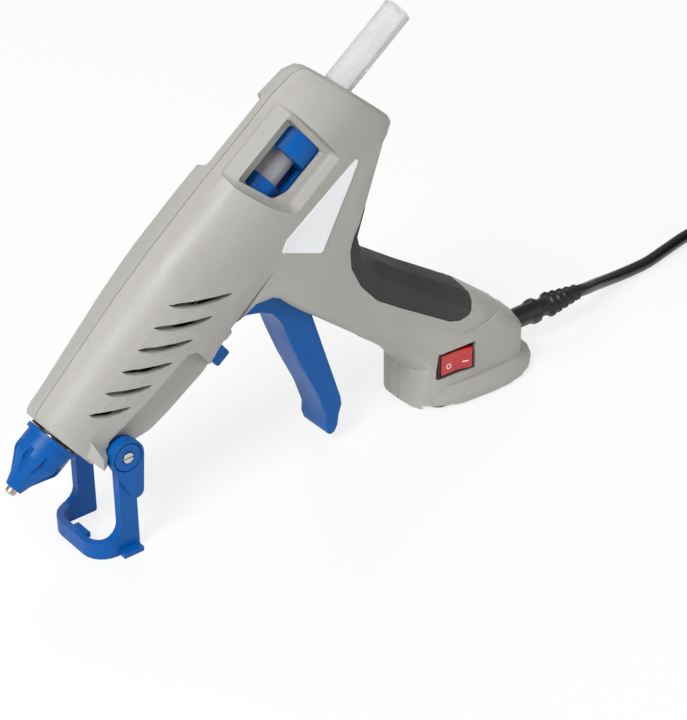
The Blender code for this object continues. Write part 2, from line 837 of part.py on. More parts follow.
def window_channel(barrel):
    return turned(
        [
            (CARRIAGE_FRONT - OVERRUN, 0.0),
            (CARRIAGE_FRONT - OVERRUN, CHANNEL_RADIUS),
            (GUIDE_FRONT - GAP, CHANNEL_RADIUS),
            (GUIDE_FRONT - GAP, 0.0),
        ],
        SMALL_ROUND,
        barrel,
    )


def spine_channel(barrel):
    return block(
        (CARRIAGE_FRONT - OVERRUN, -CARRIAGE_SPINE_HALF - RUN, -CHANNEL_RADIUS - CHANNEL_DEPTH),
        (GUIDE_FRONT - GAP, CARRIAGE_SPINE_HALF + RUN, 0.0),
        barrel,
    )


def window_block(barrel):
    """Solid part of the housing around the feed window, with a channel for the carriage."""
    wide = BARREL_HALF_WIDTH + OVERRUN
    low = (WINDOW_FRONT - RIB, -wide, -CHANNEL_RADIUS - RIB)
    made = block(low, (WINDOW_REAR + RIB, wide, BARREL_TOP + OVERRUN), barrel)
    return cut(made, window_channel(barrel), spine_channel(barrel))


def rear_block(barrel):
    wide = BARREL_HALF_WIDTH + OVERRUN
    low = (GUIDE_FRONT - GAP, -wide, -GUIDE_RADIUS - RIB)
    return block(low, (GUIDE_FRONT + 2 * GUIDE_LENGTH, wide, BARREL_TOP + OVERRUN), barrel)


def mount_rib(barrel, middle):
    wide = BARREL_HALF_WIDTH + OVERRUN
    half = MOUNT_RIB / 2
    rib = block((middle - half, -wide, -BARREL_BOTTOM - OVERRUN), (middle + half, wide, wide), barrel)
    hole = ring_hole(barrel, MOUNT_RADIUS + GAP - MOUNT_GROOVE, middle - wide, middle + wide, SMALL_ROUND)
    leads = [
        rod((middle - wide, y, 0.0), (middle + wide, y, 0.0), 2 * LEAD_RADIUS, HIDDEN_ROUND, barrel)
        for y in (-LEAD_HOLE_SIDE, LEAD_HOLE_SIDE)
    ]
    return cut(rib, hole, *leads)


def ring_hole(barrel, radius, start, end, sides=ROUND):
    return turned([(start, 0.0), (start, radius), (end, radius), (end, 0.0)], sides, barrel)


def recess_block(barrel, side):
    """Solid side of the barrel behind the stand's recess."""
    low, high = span(side, RECESS_FLOOR - WALL, BARREL_HALF_WIDTH + OVERRUN)
    return block(
        (RECESS_FRONT - WALL, low, -BARREL_BOTTOM - OVERRUN),
        (RECESS_REAR + WALL, high, WALL - RECESS_TOP),
        barrel,
    )


def bush_boss(barrel, side):
    return across(
        side, BUSH_BOSS_END, BARREL_HALF_WIDTH, STAND_PIVOT_PLACE, -STAND_PIVOT_DEPTH, BUSH_BOSS_RADIUS, barrel,
        HIDDEN_ROUND,
    )


def trigger_boss(barrel, side):
    return across(
        side,
        YOKE_INNER + YOKE_THICKNESS + RUN,
        BARREL_HALF_WIDTH + WALL,
        TRIGGER_PIVOT_PLACE,
        -TRIGGER_PIVOT_DEPTH,
        TRIGGER_PIN_RADIUS + WALL,
        barrel,
        HIDDEN_ROUND,
    )


def catch_block(barrel):
    """Walls that guide the stand's catch."""
    long = CATCH_HALF_LENGTH + RUN + WALL
    wide = CATCH_HALF_WIDTH + CATCH_LIP + RUN + WALL
    low = (CATCH_PLACE - long, -wide, -BARREL_BOTTOM - OVERRUN)
    return block(low, (CATCH_PLACE + long, wide, -CATCH_CEILING + WALL), barrel)


def screw_places():
    """World points in the middle plane of the six screws that hold the halves together."""
    on_the_barrel = [on_barrel(a * BARREL_LENGTH, b * BARREL_TOP) for a, b in BARREL_SCREW_SHARES]
    in_the_handle = [on_handle(a * HANDLE_LENGTH, b * HANDLE_DEPTH) for a, b in HANDLE_SCREW_SHARES]
    return on_the_barrel + in_the_handle


def screw_boss(place):
    wide = HANDLE_HALF_WIDTH + WALL
    return rod((place.x, -wide, place.z), (place.x, wide, place.z), SCREW_BOSS_RADIUS, HIDDEN_ROUND)


def boot_block():
    return block(
        (BOOT_FLANGE_X - BOOT_WALL, -BOOT_BLOCK_HALF, CORD_Z - BOOT_BLOCK_HALF),
        (FOOT_REAR_X, BOOT_BLOCK_HALF, CORD_Z + BOOT_BLOCK_HALF),
    )


def spring_seat():
    """Shelf above the trigger's spring."""
    x, z = TRIGGER_SPRING_X, TRIGGER_SPRING_TOP + GAP
    wide = BARREL_HALF_WIDTH + OVERRUN
    return block((x - SPRING_SEAT_HALF, -wide, z), (x + SPRING_SEAT_HALF, wide, z + WALL))


def clamp_block():
    """Block on the right side that the cord is clamped against."""
    return block(
        (CLAMP_X - CLAMP_HALF, CORD_RADIUS + GAP, CORD_Z - CLAMP_REACH),
        (CLAMP_X + CLAMP_HALF, BASE_HALF_WIDTH, CORD_Z + CLAMP_REACH),
    )


def hub_space(barrel):
    """Room for the trigger's hub and arms between the bosses of its pin."""
    half = YOKE_INNER + YOKE_THICKNESS + RUN
    low = arc((TRIGGER_PIVOT_PLACE, -TRIGGER_PIVOT_DEPTH), TRIGGER_HUB_RADIUS + RUN, 180, 360, 8)
    rise = TRIGGER_HUB_RADIUS + RUN
    return prism(
        low + [(TRIGGER_PIVOT_PLACE + rise, -rise), (TRIGGER_PIVOT_PLACE - rise, -rise)], -half, half, barrel
    )


def housing_hollow(barrel):
    """The space inside the housing, with its ribs, bosses and seats left out of it."""
    behind_grip = cut(handle_form(WALL), grip_region(WALL))
    hollow = join(barrel_form(WALL), behind_grip, handle_form(GRIP_DEPTH + WALL), base_form(WALL))
    solids = [window_block(barrel), rear_block(barrel), catch_block(barrel), boot_block(), spring_seat()]
    solids += [mount_rib(barrel, place) for place in MOUNT_PLACES]
    solids += both_sides(lambda side: recess_block(barrel, side))
    solids += both_sides(lambda side: bush_boss(barrel, side))
    solids += both_sides(lambda side: trigger_boss(barrel, side))
    solids += [screw_boss(place) for place in screw_places()]
    solids.append(clamp_block())
    hollow = cut(hollow, *solids)
    return join(hollow, hub_space(barrel))


# Openings in the housing


def window_recess(barrel, side):
    """Sloped hollow in the barrel's side around the feed window, open at the top."""
    outer = BARREL_HALF_WIDTH + OVERRUN
    top = BARREL_TOP + OVERRUN
    edge = [
        (WINDOW_RIDGE_HALF, top, 0.0),
        (WINDOW_RIDGE_HALF, BARREL_TOP - SINK, 0.0),
        (WINDOW_SHOULDER_HALF, WINDOW_TOP, 0.0),
        (WINDOW_FLOOR_HALF, -WINDOW_BOTTOM - WINDOW_MARGIN, WINDOW_RAKE),
        (outer, -WINDOW_BOTTOM - 2 * WINDOW_MARGIN, WINDOW_RAKE * 0.6),
        (outer, top, -WINDOW_RAKE * 0.6),
    ]
    front = [Vector((WINDOW_FRONT - WINDOW_MARGIN + rake, side * y, v)) for y, v, rake in edge]
    rear = [Vector((WINDOW_REAR + WINDOW_MARGIN, side * y, v)) for y, v, rake in edge]
    made = loft([front, rear], barrel)
    return soften(made, WINDOW_ROUND, 3, 25)


def window_hole(barrel, side):
    """Hole through the recess's floor, showing the carriage and the stick."""
    low, high = span(side, WINDOW_HOLE_INNER, BARREL_HALF_WIDTH + OVERRUN)
    length = WINDOW_REAR - WINDOW_FRONT
    outline = [
        (WINDOW_FRONT, WINDOW_TOP),
        (WINDOW_FRONT + 0.13 * length, 0.25 * WINDOW_BOTTOM),
        (WINDOW_FRONT + 0.34 * length, -WINDOW_BOTTOM),
        (WINDOW_REAR, -WINDOW_BOTTOM),
        (WINDOW_REAR, WINDOW_TOP),
    ]
    return soften(prism(outline, low, high, barrel), WINDOW_MARGIN / 2, 2)


def louvre(barrel, side, number):
    """One of the air slots, a lens with its lower edge bowed."""
    share = number / (LOUVRES - 1)
    place = LOUVRE_FIRST_PLACE + share * (LOUVRE_LAST_PLACE - LOUVRE_FIRST_PLACE)
    length = LOUVRE_SHORT + share * (LOUVRE_LONG - LOUVRE_SHORT)
    height = LOUVRE_FIRST_HEIGHT + share * (LOUVRE_LAST_HEIGHT - LOUVRE_FIRST_HEIGHT)
    frame = frame_at("louvre", on_barrel(place, height), -LOUVRE_FALL)
    low, high = span(side, CHAMBER_RADIUS + WALL, BARREL_HALF_WIDTH + OVERRUN)
    outline = [(a * length, b * LOUVRE_DEEP) for a, b in LOUVRE_SHARES]
    return prism(outline, low, high, frame)


def stand_recess(barrel, side):
    """Where a leg of the stand lies when it is folded, and where its head turns."""
    low, high = span(side, RECESS_FLOOR, BARREL_HALF_WIDTH + OVERRUN)
    groove = prism(
        [
            (STAND_PIVOT_PLACE, -RECESS_TOP),
            (RECESS_REAR - RECESS_RAKE, -RECESS_TOP),
            (RECESS_REAR, -RECESS_TOP - RECESS_RAKE),
            (RECESS_REAR, -BARREL_BOTTOM - OVERRUN),
            (RECESS_FRONT - OVERRUN, -BARREL_BOTTOM - OVERRUN),
            (RECESS_FRONT, -STAND_PIVOT_DEPTH),
        ],
        low,
        high,
        barrel,
    )
    head = across(
        side, RECESS_FLOOR, BARREL_HALF_WIDTH + OVERRUN, STAND_PIVOT_PLACE, -STAND_PIVOT_DEPTH,
        STAND_HEAD_RADIUS + 2 * RUN, barrel, ROUND,
    )
    return join(groove, head)


def fairing(barrel, side):
    """Fin on the barrel's side in front of the stand's head."""
    points = [
        (BARREL_FRONT + a * STAND_HEAD_RADIUS, side * (STAND_INNER + b * FAIRING_HEIGHT), -c * STAND_PIVOT_DEPTH)
        for a, b, c in FAIRING_SHARES
    ]
    return hull(points, barrel)


def catch_bulge(barrel):
    """Bump across the underside behind the catch."""
    start = CATCH_PLACE + CATCH_HALF_LENGTH + 2 * RUN
    low = (start, -BULGE_HALF_WIDTH, -BULGE_DEPTH)
    return soften(block(low, (start + BULGE_LENGTH, BULGE_HALF_WIDTH, -BULGE_DEPTH / 2), barrel), BULGE_LENGTH / 4)


def trigger_slot():
    """Opening along the underside for the trigger's swing."""
    half = TRIGGER_HALF_WIDTH + SLOT_CLEAR
    outline = stretched(SLOT_SHARES, HANDLE_LENGTH, (HANDLE_FOOT_X, HANDLE_FOOT_Z))
    return prism(outline, -half, half)


def catch_hole(barrel):
    """Slot for the catch, wider inside for its lip."""
    long, wide = CATCH_HALF_LENGTH + RUN, CATCH_HALF_WIDTH + RUN
    low = (CATCH_PLACE - long, -wide, -BARREL_BOTTOM - 2 * OVERRUN)
    slot = block(low, (CATCH_PLACE + long, wide, -(CATCH_CEILING + CATCH_LEDGE) / 2), barrel)
    low = (CATCH_PLACE - long - GAP, -wide - CATCH_LIP, -CATCH_LEDGE)
    inner = block(low, (CATCH_PLACE + long + GAP, wide + CATCH_LIP, -CATCH_CEILING), barrel)
    return join(slot, inner)


def switch_hole():
    """Opening for the switch in the side of the base."""
    half_length, half_height = SWITCH_LENGTH / 2 + GAP, SWITCH_HEIGHT / 2 + GAP
    return block(
        (SWITCH_X - half_length, -HANDLE_HALF_WIDTH - OVERRUN, SWITCH_Z - half_height),
        (SWITCH_X + half_length, -HANDLE_HALF_WIDTH + SWITCH_DEPTH + GAP, SWITCH_Z + half_height),
    )


def boot_hole():
    neck = rod((BOOT_FLANGE_X - 2 * BOOT_WALL, 0.0, CORD_Z), (FOOT_REAR_X + OVERRUN, 0.0, CORD_Z), BOOT_NECK_RADIUS + GAP)
    flange = rod(
        (BOOT_FLANGE_X - GAP, 0.0, CORD_Z),
        (BOOT_FLANGE_X + BOOT_INSIDE + GAP, 0.0, CORD_Z),
        BOOT_FLANGE_RADIUS + GAP,
    )
    return join(neck, flange)


def screw_hole(place):
    """Hole for a screw from the right side: head recess, clearance and core."""
    head = HANDLE_HALF_WIDTH - SCREW_SINK
    recess = rod(
        (place.x, head, place.z), (place.x, BARREL_HALF_WIDTH + OVERRUN, place.z), SCREW_HEAD_RADIUS + GAP
    )
    shaft = rod(
        (place.x, head - SCREW_LENGTH - GAP, place.z), (place.x, head + SINK, place.z), SCREW_RADIUS + GAP, HIDDEN_ROUND
    )
    return join(recess, shaft)


def pad_pocket():
    return plate(pad_outline(GAP), -OVERRUN, PAD_THICKNESS + GAP)


def pad_outline(margin=0.0):
    """Outline of the rubber foot, rounded, inside the base's foot."""
    reach = [(BASE_FRONT_X + PAD_MARGIN, 1), (BASE_REAR_X - PAD_MARGIN, -1)]
    wide = FOOT_HALF_WIDTH - PAD_MARGIN
    points = []
    for (x, way), first in zip(reach, (90, 270)):
        for side in (1, -1) if way > 0 else (-1, 1):
            centre = (x + way * PAD_ROUND, side * (wide - PAD_ROUND))
            start = {(1, 1): 90, (1, -1): 180, (-1, -1): 270, (-1, 1): 0}[(way, side)]
            points += arc(centre, PAD_ROUND + margin, start, start + 90, 4)
    return points


def build_housing(barrel):
    """Both halves of the housing, cut from one form along the seam."""
    whole = join(barrel_form(), handle_form(), base_form(), foot_form())
    join(whole, catch_bulge(barrel), *both_sides(lambda side: fairing(barrel, side)))
    cut(whole, housing_hollow(barrel))
    front = ring_hole(barrel, FRONT_RING_RADIUS + GAP, BARREL_FRONT - OVERRUN, CHAMBER_FRONT)
    rear = ring_hole(barrel, GUIDE_RADIUS + GAP, GUIDE_FRONT - OVERRUN, STICK_END)
    cut(whole, front, rear)
    for make in (window_recess, window_hole, stand_recess):
        cut(whole, *both_sides(lambda side: make(barrel, side)))
    for number in range(LOUVRES):
        cut(whole, *both_sides(lambda side: louvre(barrel, side, number)))
    pocket = cut(grip_region(GAP), handle_form(GRIP_DEPTH + GAP))
    cut(whole, pocket, trigger_slot(), catch_hole(barrel), switch_hole(), boot_hole(), pad_pocket())
    cut(whole, *[screw_hole(place) for place in screw_places()])
    cut(whole, *both_sides(lambda side: bush_hole(barrel, side)))
    cut(whole, trigger_pin_hole(barrel), *clamp_screw_holes())
    far = BARREL_LENGTH + HANDLE_LENGTH
    halves = []
    for side, name in ((-1, "housing_left"), (1, "housing_right")):
        low, high = span(side, SEAM / 2, BARREL_HALF_WIDTH + 2 * OVERRUN)
        half = common(copy_of(whole), block((-far, low, -far), (far, high, far)))
        halves.append(finished(simplify(half), name, "housing_grey"))
    bpy.data.objects.remove(whole)
    return halves


def bush_hole(barrel, side):
    return across(
        side, BUSH_BOSS_END - RUN, BARREL_HALF_WIDTH, STAND_PIVOT_PLACE, -STAND_PIVOT_DEPTH,
        BUSH_SCREW_RADIUS + GAP, barrel, HIDDEN_ROUND,
    )


def trigger_pin_hole(barrel):
    half = TRIGGER_PIN_HALF + GAP
    return rod(
        (TRIGGER_PIVOT_PLACE, -half, -TRIGGER_PIVOT_DEPTH),
        (TRIGGER_PIVOT_PLACE, half, -TRIGGER_PIVOT_DEPTH),
        TRIGGER_PIN_RADIUS + GAP,
        HIDDEN_ROUND,
        barrel,
    )


# Nozzle and melt chamber


def build_nozzle(barrel):
    thread = CHAMBER_THREAD_RADIUS
    profile = [
        (0.0, NOZZLE_HOLE_RADIUS),
        (0.0, NOZZLE_TIP_RADIUS * 0.8),
        (NOZZLE_TIP_RADIUS * 0.3, NOZZLE_TIP_RADIUS),
        (SHIELD_FRONT, NOZZLE_TIP_RADIUS),
        (SHIELD_SHOULDER, thread),
        (SHIELD_REAR - SHIELD_FLANGE - GAP, thread),
        (SHIELD_REAR - SHIELD_FLANGE, NOZZLE_COLLAR_RADIUS),
        (CHAMBER_FRONT - GAP, NOZZLE_COLLAR_RADIUS),
        (CHAMBER_FRONT - GAP, thread),
        (CHAMBER_BORE_FRONT - CHAMBER_CONE, thread),
        (CHAMBER_BORE_FRONT - CHAMBER_CONE, thread - SHIELD_WALL),
        (SHIELD_SHOULDER, thread - SHIELD_WALL),
        (2 * SHIELD_FRONT, NOZZLE_HOLE_RADIUS),
    ]
    return finished(turned(profile, SMALL_ROUND, barrel), "nozzle", "metal")


def flute(barrel, number):
    """One of the grooves round the shield's shoulder."""
    angle = math.tau * (number + 0.5) / FLUTES
    out = Vector((0.0, math.cos(angle), math.sin(angle)))
    start = Vector((SHIELD_FRONT, 0.0, 0.0)) + out * (SHIELD_TIP_RADIUS + FLUTE_RADIUS)
    end = Vector((SHIELD_SHOULDER + FLUTE_RUN, 0.0, 0.0)) + out * (SHIELD_RADIUS + FLUTE_RADIUS * 0.4)
    return rod(start, end, FLUTE_RADIUS, 8, barrel)


def build_shield(barrel):
    """Heat shield round the nozzle, a fluted cone with a flange at its rear."""
    cone = SHIELD_SHOULDER - SHIELD_FRONT
    outer = [
        (SHIELD_FRONT, SHIELD_TIP_RADIUS),
        (SHIELD_FRONT + 0.35 * cone, SHIELD_TIP_RADIUS + 0.22 * (SHIELD_RADIUS - SHIELD_TIP_RADIUS)),
        (SHIELD_FRONT + 0.70 * cone, SHIELD_TIP_RADIUS + 0.60 * (SHIELD_RADIUS - SHIELD_TIP_RADIUS)),
        (SHIELD_SHOULDER, SHIELD_RADIUS * 0.97),
        (SHIELD_SHOULDER + FLUTE_RADIUS, SHIELD_RADIUS),
        (SHIELD_REAR - SHIELD_FLANGE, SHIELD_RADIUS),
        (SHIELD_REAR - SHIELD_FLANGE, SHIELD_FLANGE_RADIUS),
        (SHIELD_REAR, SHIELD_FLANGE_RADIUS),
    ]
    inner = [
        (SHIELD_REAR, NOZZLE_COLLAR_RADIUS + GAP),
        (SHIELD_REAR - SHIELD_FLANGE - 2 * GAP, NOZZLE_COLLAR_RADIUS + GAP),
        (SHIELD_REAR - SHIELD_FLANGE - 2 * GAP, CHAMBER_THREAD_RADIUS + GAP),
        (SHIELD_SHOULDER, CHAMBER_THREAD_RADIUS + GAP),
        (SHIELD_FRONT, NOZZLE_TIP_RADIUS + GAP),
    ]
    shield = turned(outer + inner, ROUND, barrel)
    cut(shield, *[flute(barrel, number) for number in range(FLUTES)])
    return finished(shield, "nozzle_shield", "blue")


def build_front_ring(barrel):
    start = SHIELD_REAR + GAP
    ring = ring_of(NOZZLE_COLLAR_RADIUS + GAP, FRONT_RING_RADIUS, start, start + FRONT_RING_LENGTH, ROUND, barrel)
    return finished(ring, "front_ring", "black")


def build_chamber(barrel):
    """Melt chamber with flat sides for the heaters, closed by the nozzle in front."""
    thread = CHAMBER_THREAD_RADIUS + GAP
    profile = [
        (CHAMBER_FRONT, thread),
        (CHAMBER_FRONT, CHAMBER_RADIUS),
        (CHAMBER_REAR, CHAMBER_RADIUS),
        (CHAMBER_REAR, BORE_RADIUS),
        (CHAMBER_BORE_FRONT, BORE_RADIUS),
        (CHAMBER_BORE_FRONT - CHAMBER_CONE + GAP, thread),
    ]
    chamber = turned(profile, ROUND, barrel)
    half = HEATER_LENGTH / 2 + WALL
    for side in (-1, 1):
        low, high = span(side, BORE_RADIUS + WALL / 2, CHAMBER_FLAT)
        flat = block(
            (HEATER_MIDDLE - half, low, -HEATER_HEIGHT / 2), (HEATER_MIDDLE + half, high, HEATER_HEIGHT / 2), barrel
        )
        join(chamber, flat)
    return finished(chamber, "melt_chamber", "metal")


def build_heaters(barrel):
    for side, name in ((-1, "heater_left"), (1, "heater_right")):
        low, high = span(side, CHAMBER_FLAT + GAP, CHAMBER_FLAT + GAP + HEATER_THICKNESS)
        half = HEATER_LENGTH / 2
        pack = block(
            (HEATER_MIDDLE - half, low, -HEATER_HEIGHT / 2), (HEATER_MIDDLE + half, high, HEATER_HEIGHT / 2), barrel
        )
        finished(pack, name, "ceramic")


def build_heater_clip(barrel):
    """Sheet spring that holds both heaters on the chamber, open below."""
    inner = CHAMBER_FLAT + HEATER_THICKNESS + 2 * GAP
    outer = inner + CLIP_THICKNESS
    lower = HEATER_HEIGHT / 2
    top = CHAMBER_RADIUS + GAP
    start, end = HEATER_MIDDLE - CLIP_WIDTH / 2, HEATER_MIDDLE + CLIP_WIDTH / 2
    slope = CHAMBER_FLAT / 3
    layers = []
    for more, low, half, high in (
        (0.0, -lower, outer, top + CLIP_THICKNESS),
        (OVERRUN, -lower - OVERRUN, inner, top),
    ):
        side = [(half, low), (half, high - slope), (half - slope, high)]
        points = [(x, y, v) for x in (start - more, end + more) for y, v in side + [(-y, v) for y, v in side]]
        layers.append(hull(points, barrel))
    return finished(cut(*layers), "heater_spring", "metal")


def build_mounts(barrel):
    """Heat resistant rings that hang the chamber in ribs of the housing."""
    for place, name in zip(MOUNT_PLACES, ("chamber_mount_front", "chamber_mount_rear")):
        half, groove = MOUNT_WIDTH / 2, MOUNT_RIB / 2 + GAP
        bottom = MOUNT_RADIUS - MOUNT_GROOVE
        profile = [
            (place - half, CHAMBER_RADIUS + GAP),
            (place - half, MOUNT_RADIUS),
            (place - groove, MOUNT_RADIUS),
            (place - groove, bottom),
            (place + groove, bottom),
            (place + groove, MOUNT_RADIUS),
            (place + half, MOUNT_RADIUS),
            (place + half, CHAMBER_RADIUS + GAP),
        ]
        finished(turned(profile, SMALL_ROUND, barrel), name, "silicone")


def build_fuse(barrel):
    """Thermal fuse along the top of the chamber, behind the spring clip."""
    start = HEATER_MIDDLE + CLIP_WIDTH / 2 + GAP
    height = CHAMBER_RADIUS + GAP + FUSE_RADIUS
    fuse = rod((start, 0.0, height), (start + FUSE_LENGTH, 0.0, height), FUSE_RADIUS, 12, barrel)
    return finished(fuse, "thermal_fuse", "metal")


def build_inlet_sleeve(barrel):
    start = CHAMBER_REAR + GAP
    sleeve = ring_of(BORE_RADIUS, BORE_RADIUS + SLEEVE_THICKNESS, start, start + SLEEVE_LENGTH, ROUND, barrel)
    return finished(sleeve, "inlet_sleeve", "silicone")


# Feed


def build_carriage(barrel):
    """Front sleeve and rear ring round the stick, joined by a spine below, with a pin on each side."""
    sleeve = turned(
        [
            (CARRIAGE_FRONT, 0.0),
            (CARRIAGE_FRONT, CARRIAGE_SLEEVE_RADIUS),
            (CARRIAGE_SLEEVE_REAR, CARRIAGE_SLEEVE_RADIUS),
            (CARRIAGE_SLEEVE_REAR, 0.0),
        ],
        ROUND,
        barrel,
    )
    ring = turned(
        [
            (CARRIAGE_RING_FRONT, 0.0),
            (CARRIAGE_RING_FRONT, CARRIAGE_RING_RADIUS),
            (CARRIAGE_RING_REAR, CARRIAGE_RING_RADIUS),
            (CARRIAGE_RING_REAR, 0.0),
        ],
        ROUND,
        barrel,
    )
    spine = block(
        (CARRIAGE_SLEEVE_REAR - CARRIAGE_RING_RADIUS, -CARRIAGE_SPINE_HALF, -CARRIAGE_RING_RADIUS + GAP),
        (CARRIAGE_RING_FRONT + SINK, CARRIAGE_SPINE_HALF, -CARRIAGE_RING_RADIUS + CARRIAGE_SPINE_THICKNESS),
        barrel,
    )
    web = block(
        (CARRIAGE_SLEEVE_REAR - CARRIAGE_RING_RADIUS, -CARRIAGE_SPINE_HALF / 2, -CARRIAGE_RING_RADIUS + 2 * GAP),
        (CARRIAGE_SLEEVE_REAR - SINK, CARRIAGE_SPINE_HALF / 2, -BORE_RADIUS),
        barrel,
    )
    reach = YOKE_INNER + YOKE_THICKNESS
    pins = rod(
        (CARRIAGE_PIN_PLACE, -reach, 0.0), (CARRIAGE_PIN_PLACE, reach, 0.0), CARRIAGE_PIN_RADIUS, SMALL_ROUND, barrel
    )
    join(sleeve, ring, spine, web, pins)
    cut(sleeve, ring_hole(barrel, BORE_RADIUS, CARRIAGE_FRONT - OVERRUN, CARRIAGE_RING_REAR + OVERRUN))
    return finished(sleeve, "feed_carriage", "blue")


def build_stick(barrel):
    stick = rod((STICK_FRONT, 0.0, 0.0), (STICK_END, 0.0, 0.0), STICK_RADIUS, 24, barrel)
    return finished(soften(stick, SINK / 2, 2), "glue_stick", "clear")


def build_guide(barrel):
    guide = ring_of(BORE_RADIUS, GUIDE_RADIUS, GUIDE_FRONT, GUIDE_FRONT + GUIDE_LENGTH, ROUND, barrel)
    return finished(guide, "rear_guide", "black")


def build_trigger(pivot):
    """Finger lever with a hood in front of its pivot and two arms that reach up to the carriage's pins."""
    blade = prism(
        stretched(TRIGGER_SHARES, TRIGGER_LENGTH), -TRIGGER_HALF_WIDTH, TRIGGER_HALF_WIDTH, pivot
    )
    blade = soften(blade, TRIGGER_ROUND, 2, 60)
    reach = YOKE_INNER + YOKE_THICKNESS
    hub = rod((0.0, -reach, 0.0), (0.0, reach, 0.0), TRIGGER_HUB_RADIUS, ROUND, pivot)
    lean = math.atan2(CARRIAGE_PIN_PLACE - TRIGGER_PIVOT_PLACE, TRIGGER_PIVOT_DEPTH)
    length = math.hypot(CARRIAGE_PIN_PLACE - TRIGGER_PIVOT_PLACE, TRIGGER_PIVOT_DEPTH)
    direction = math.pi / 2 + BARREL_TILT - lean
    along = Vector((math.cos(direction), 0.0, math.sin(direction)))
    square = Vector((-along.z, 0.0, along.x))
    arms = []
    for side in (-1, 1):
        low, high = span(side, YOKE_INNER, reach)
        foot, top = along * -GAP, along * (length + YOKE_HALF_WIDTH)
        corners = [
            foot - square * YOKE_HALF_WIDTH,
            top - square * YOKE_HALF_WIDTH,
            top + square * YOKE_HALF_WIDTH,
            foot + square * YOKE_HALF_WIDTH,
        ]
        arms.append(prism([(c.x, c.z) for c in corners], low, high, pivot))
    join(blade, hub, *arms)
    slot_half = CARRIAGE_PIN_RADIUS + GAP
    start, end = along * (length - slot_half), along * (length + OVERRUN)
    corners = [start - square * slot_half, end - square * slot_half, end + square * slot_half, start + square * slot_half]
    fork = prism([(c.x, c.z) for c in corners], -reach - OVERRUN, reach + OVERRUN, pivot)
    bore = rod(
        (0.0, -reach - OVERRUN, 0.0), (0.0, reach + OVERRUN, 0.0), TRIGGER_PIN_RADIUS + RUN, SMALL_ROUND, pivot
    )
    cut(blade, fork, bore)
    return finished(blade, "trigger", "blue")


def build_trigger_pin(barrel):
    pin = rod(
        (TRIGGER_PIVOT_PLACE, -TRIGGER_PIN_HALF, -TRIGGER_PIVOT_DEPTH),
        (TRIGGER_PIVOT_PLACE, TRIGGER_PIN_HALF, -TRIGGER_PIVOT_DEPTH),
        TRIGGER_PIN_RADIUS,
        SMALL_ROUND,
        barrel,
    )
    return finished(pin, "trigger_pin", "metal")


def helix(radius, length, turns, points):
    """Points of a spring along +Z, with its first and last turn closed up."""
    route = []
    for i in range(turns * points + 1):
        share = i / (turns * points)
        rise = 0.5 - 0.5 * math.cos(math.pi * share)
        rise = 0.35 * rise + 0.65 * share
        angle = math.tau * i / points
        route.append(Vector((radius * math.cos(angle), radius * math.sin(angle), rise * length)))
    return route


def tube(name, route, radius, slot, resolution=2, frame=None):
    """A closed tube along straight pieces between points."""
    curve = bpy.data.curves.new(name, "CURVE")
    curve.dimensions = "3D"
    curve.bevel_depth = radius
    curve.bevel_resolution = resolution
    curve.use_fill_caps = True
    spline = curve.splines.new("POLY")
    spline.points.add(len(route) - 1)
    for point, place in zip(spline.points, route):
        point.co = (*place, 1.0)
    curve.materials.append(material(slot))
    piece = bpy.data.objects.new(name, curve)
    bpy.context.scene.collection.objects.link(piece)
    piece.parent = frame
    return piece


def build_trigger_spring():
    """Compression spring between the trigger's shelf and a shelf of the housing."""
    foot = TRIGGER_SPRING_FOOT + SPRING_WIRE
    length = TRIGGER_SPRING_TOP - SPRING_WIRE - foot
    seat = frame_at("trigger_spring_seat", (TRIGGER_SPRING_X, 0.0, foot))
    route = helix(TRIGGER_SPRING_RADIUS, length, SPRING_TURNS, HIDDEN_ROUND)
    return tube("trigger_spring", route, SPRING_WIRE, "metal", 1, seat)


# Stand


def stand_plan(half, front, corner, rear):
    """Half outlines of the stand from above: a U that opens to +X."""
    points = [(rear, half)]
    points += arc((front + corner, half - corner), corner, 90, 180, 6)
    points += arc((front + corner, corner - half), corner, 180, 270, 6)
    return points + [(rear, -half)]


def stand_side(pivot_z):
    """Side view of the stand, from the head down the leg and forward along the front band."""
    front, rear = -STAND_LEG_WIDTH / 2, STAND_LEG_WIDTH / 2
    ground = -pivot_z
    band = ground + STAND_BAND_HEIGHT
    curve = STAND_CORNER
    return [
        (rear, 0.0),
        (front, 0.0),
        (front, band + curve * 0.60),
        (front - curve * 0.06, band + curve * 0.38),
        (front - curve * 0.20, band + curve * 0.18),
        (front - curve * 0.42, band + curve * 0.05),
        (front - curve * 0.70, band),
        (-STAND_BAND_REACH - OVERRUN, band),
        (-STAND_BAND_REACH - OVERRUN, ground),
        (rear - STAND_EDGE, ground),
        (rear, ground + STAND_EDGE),
    ]


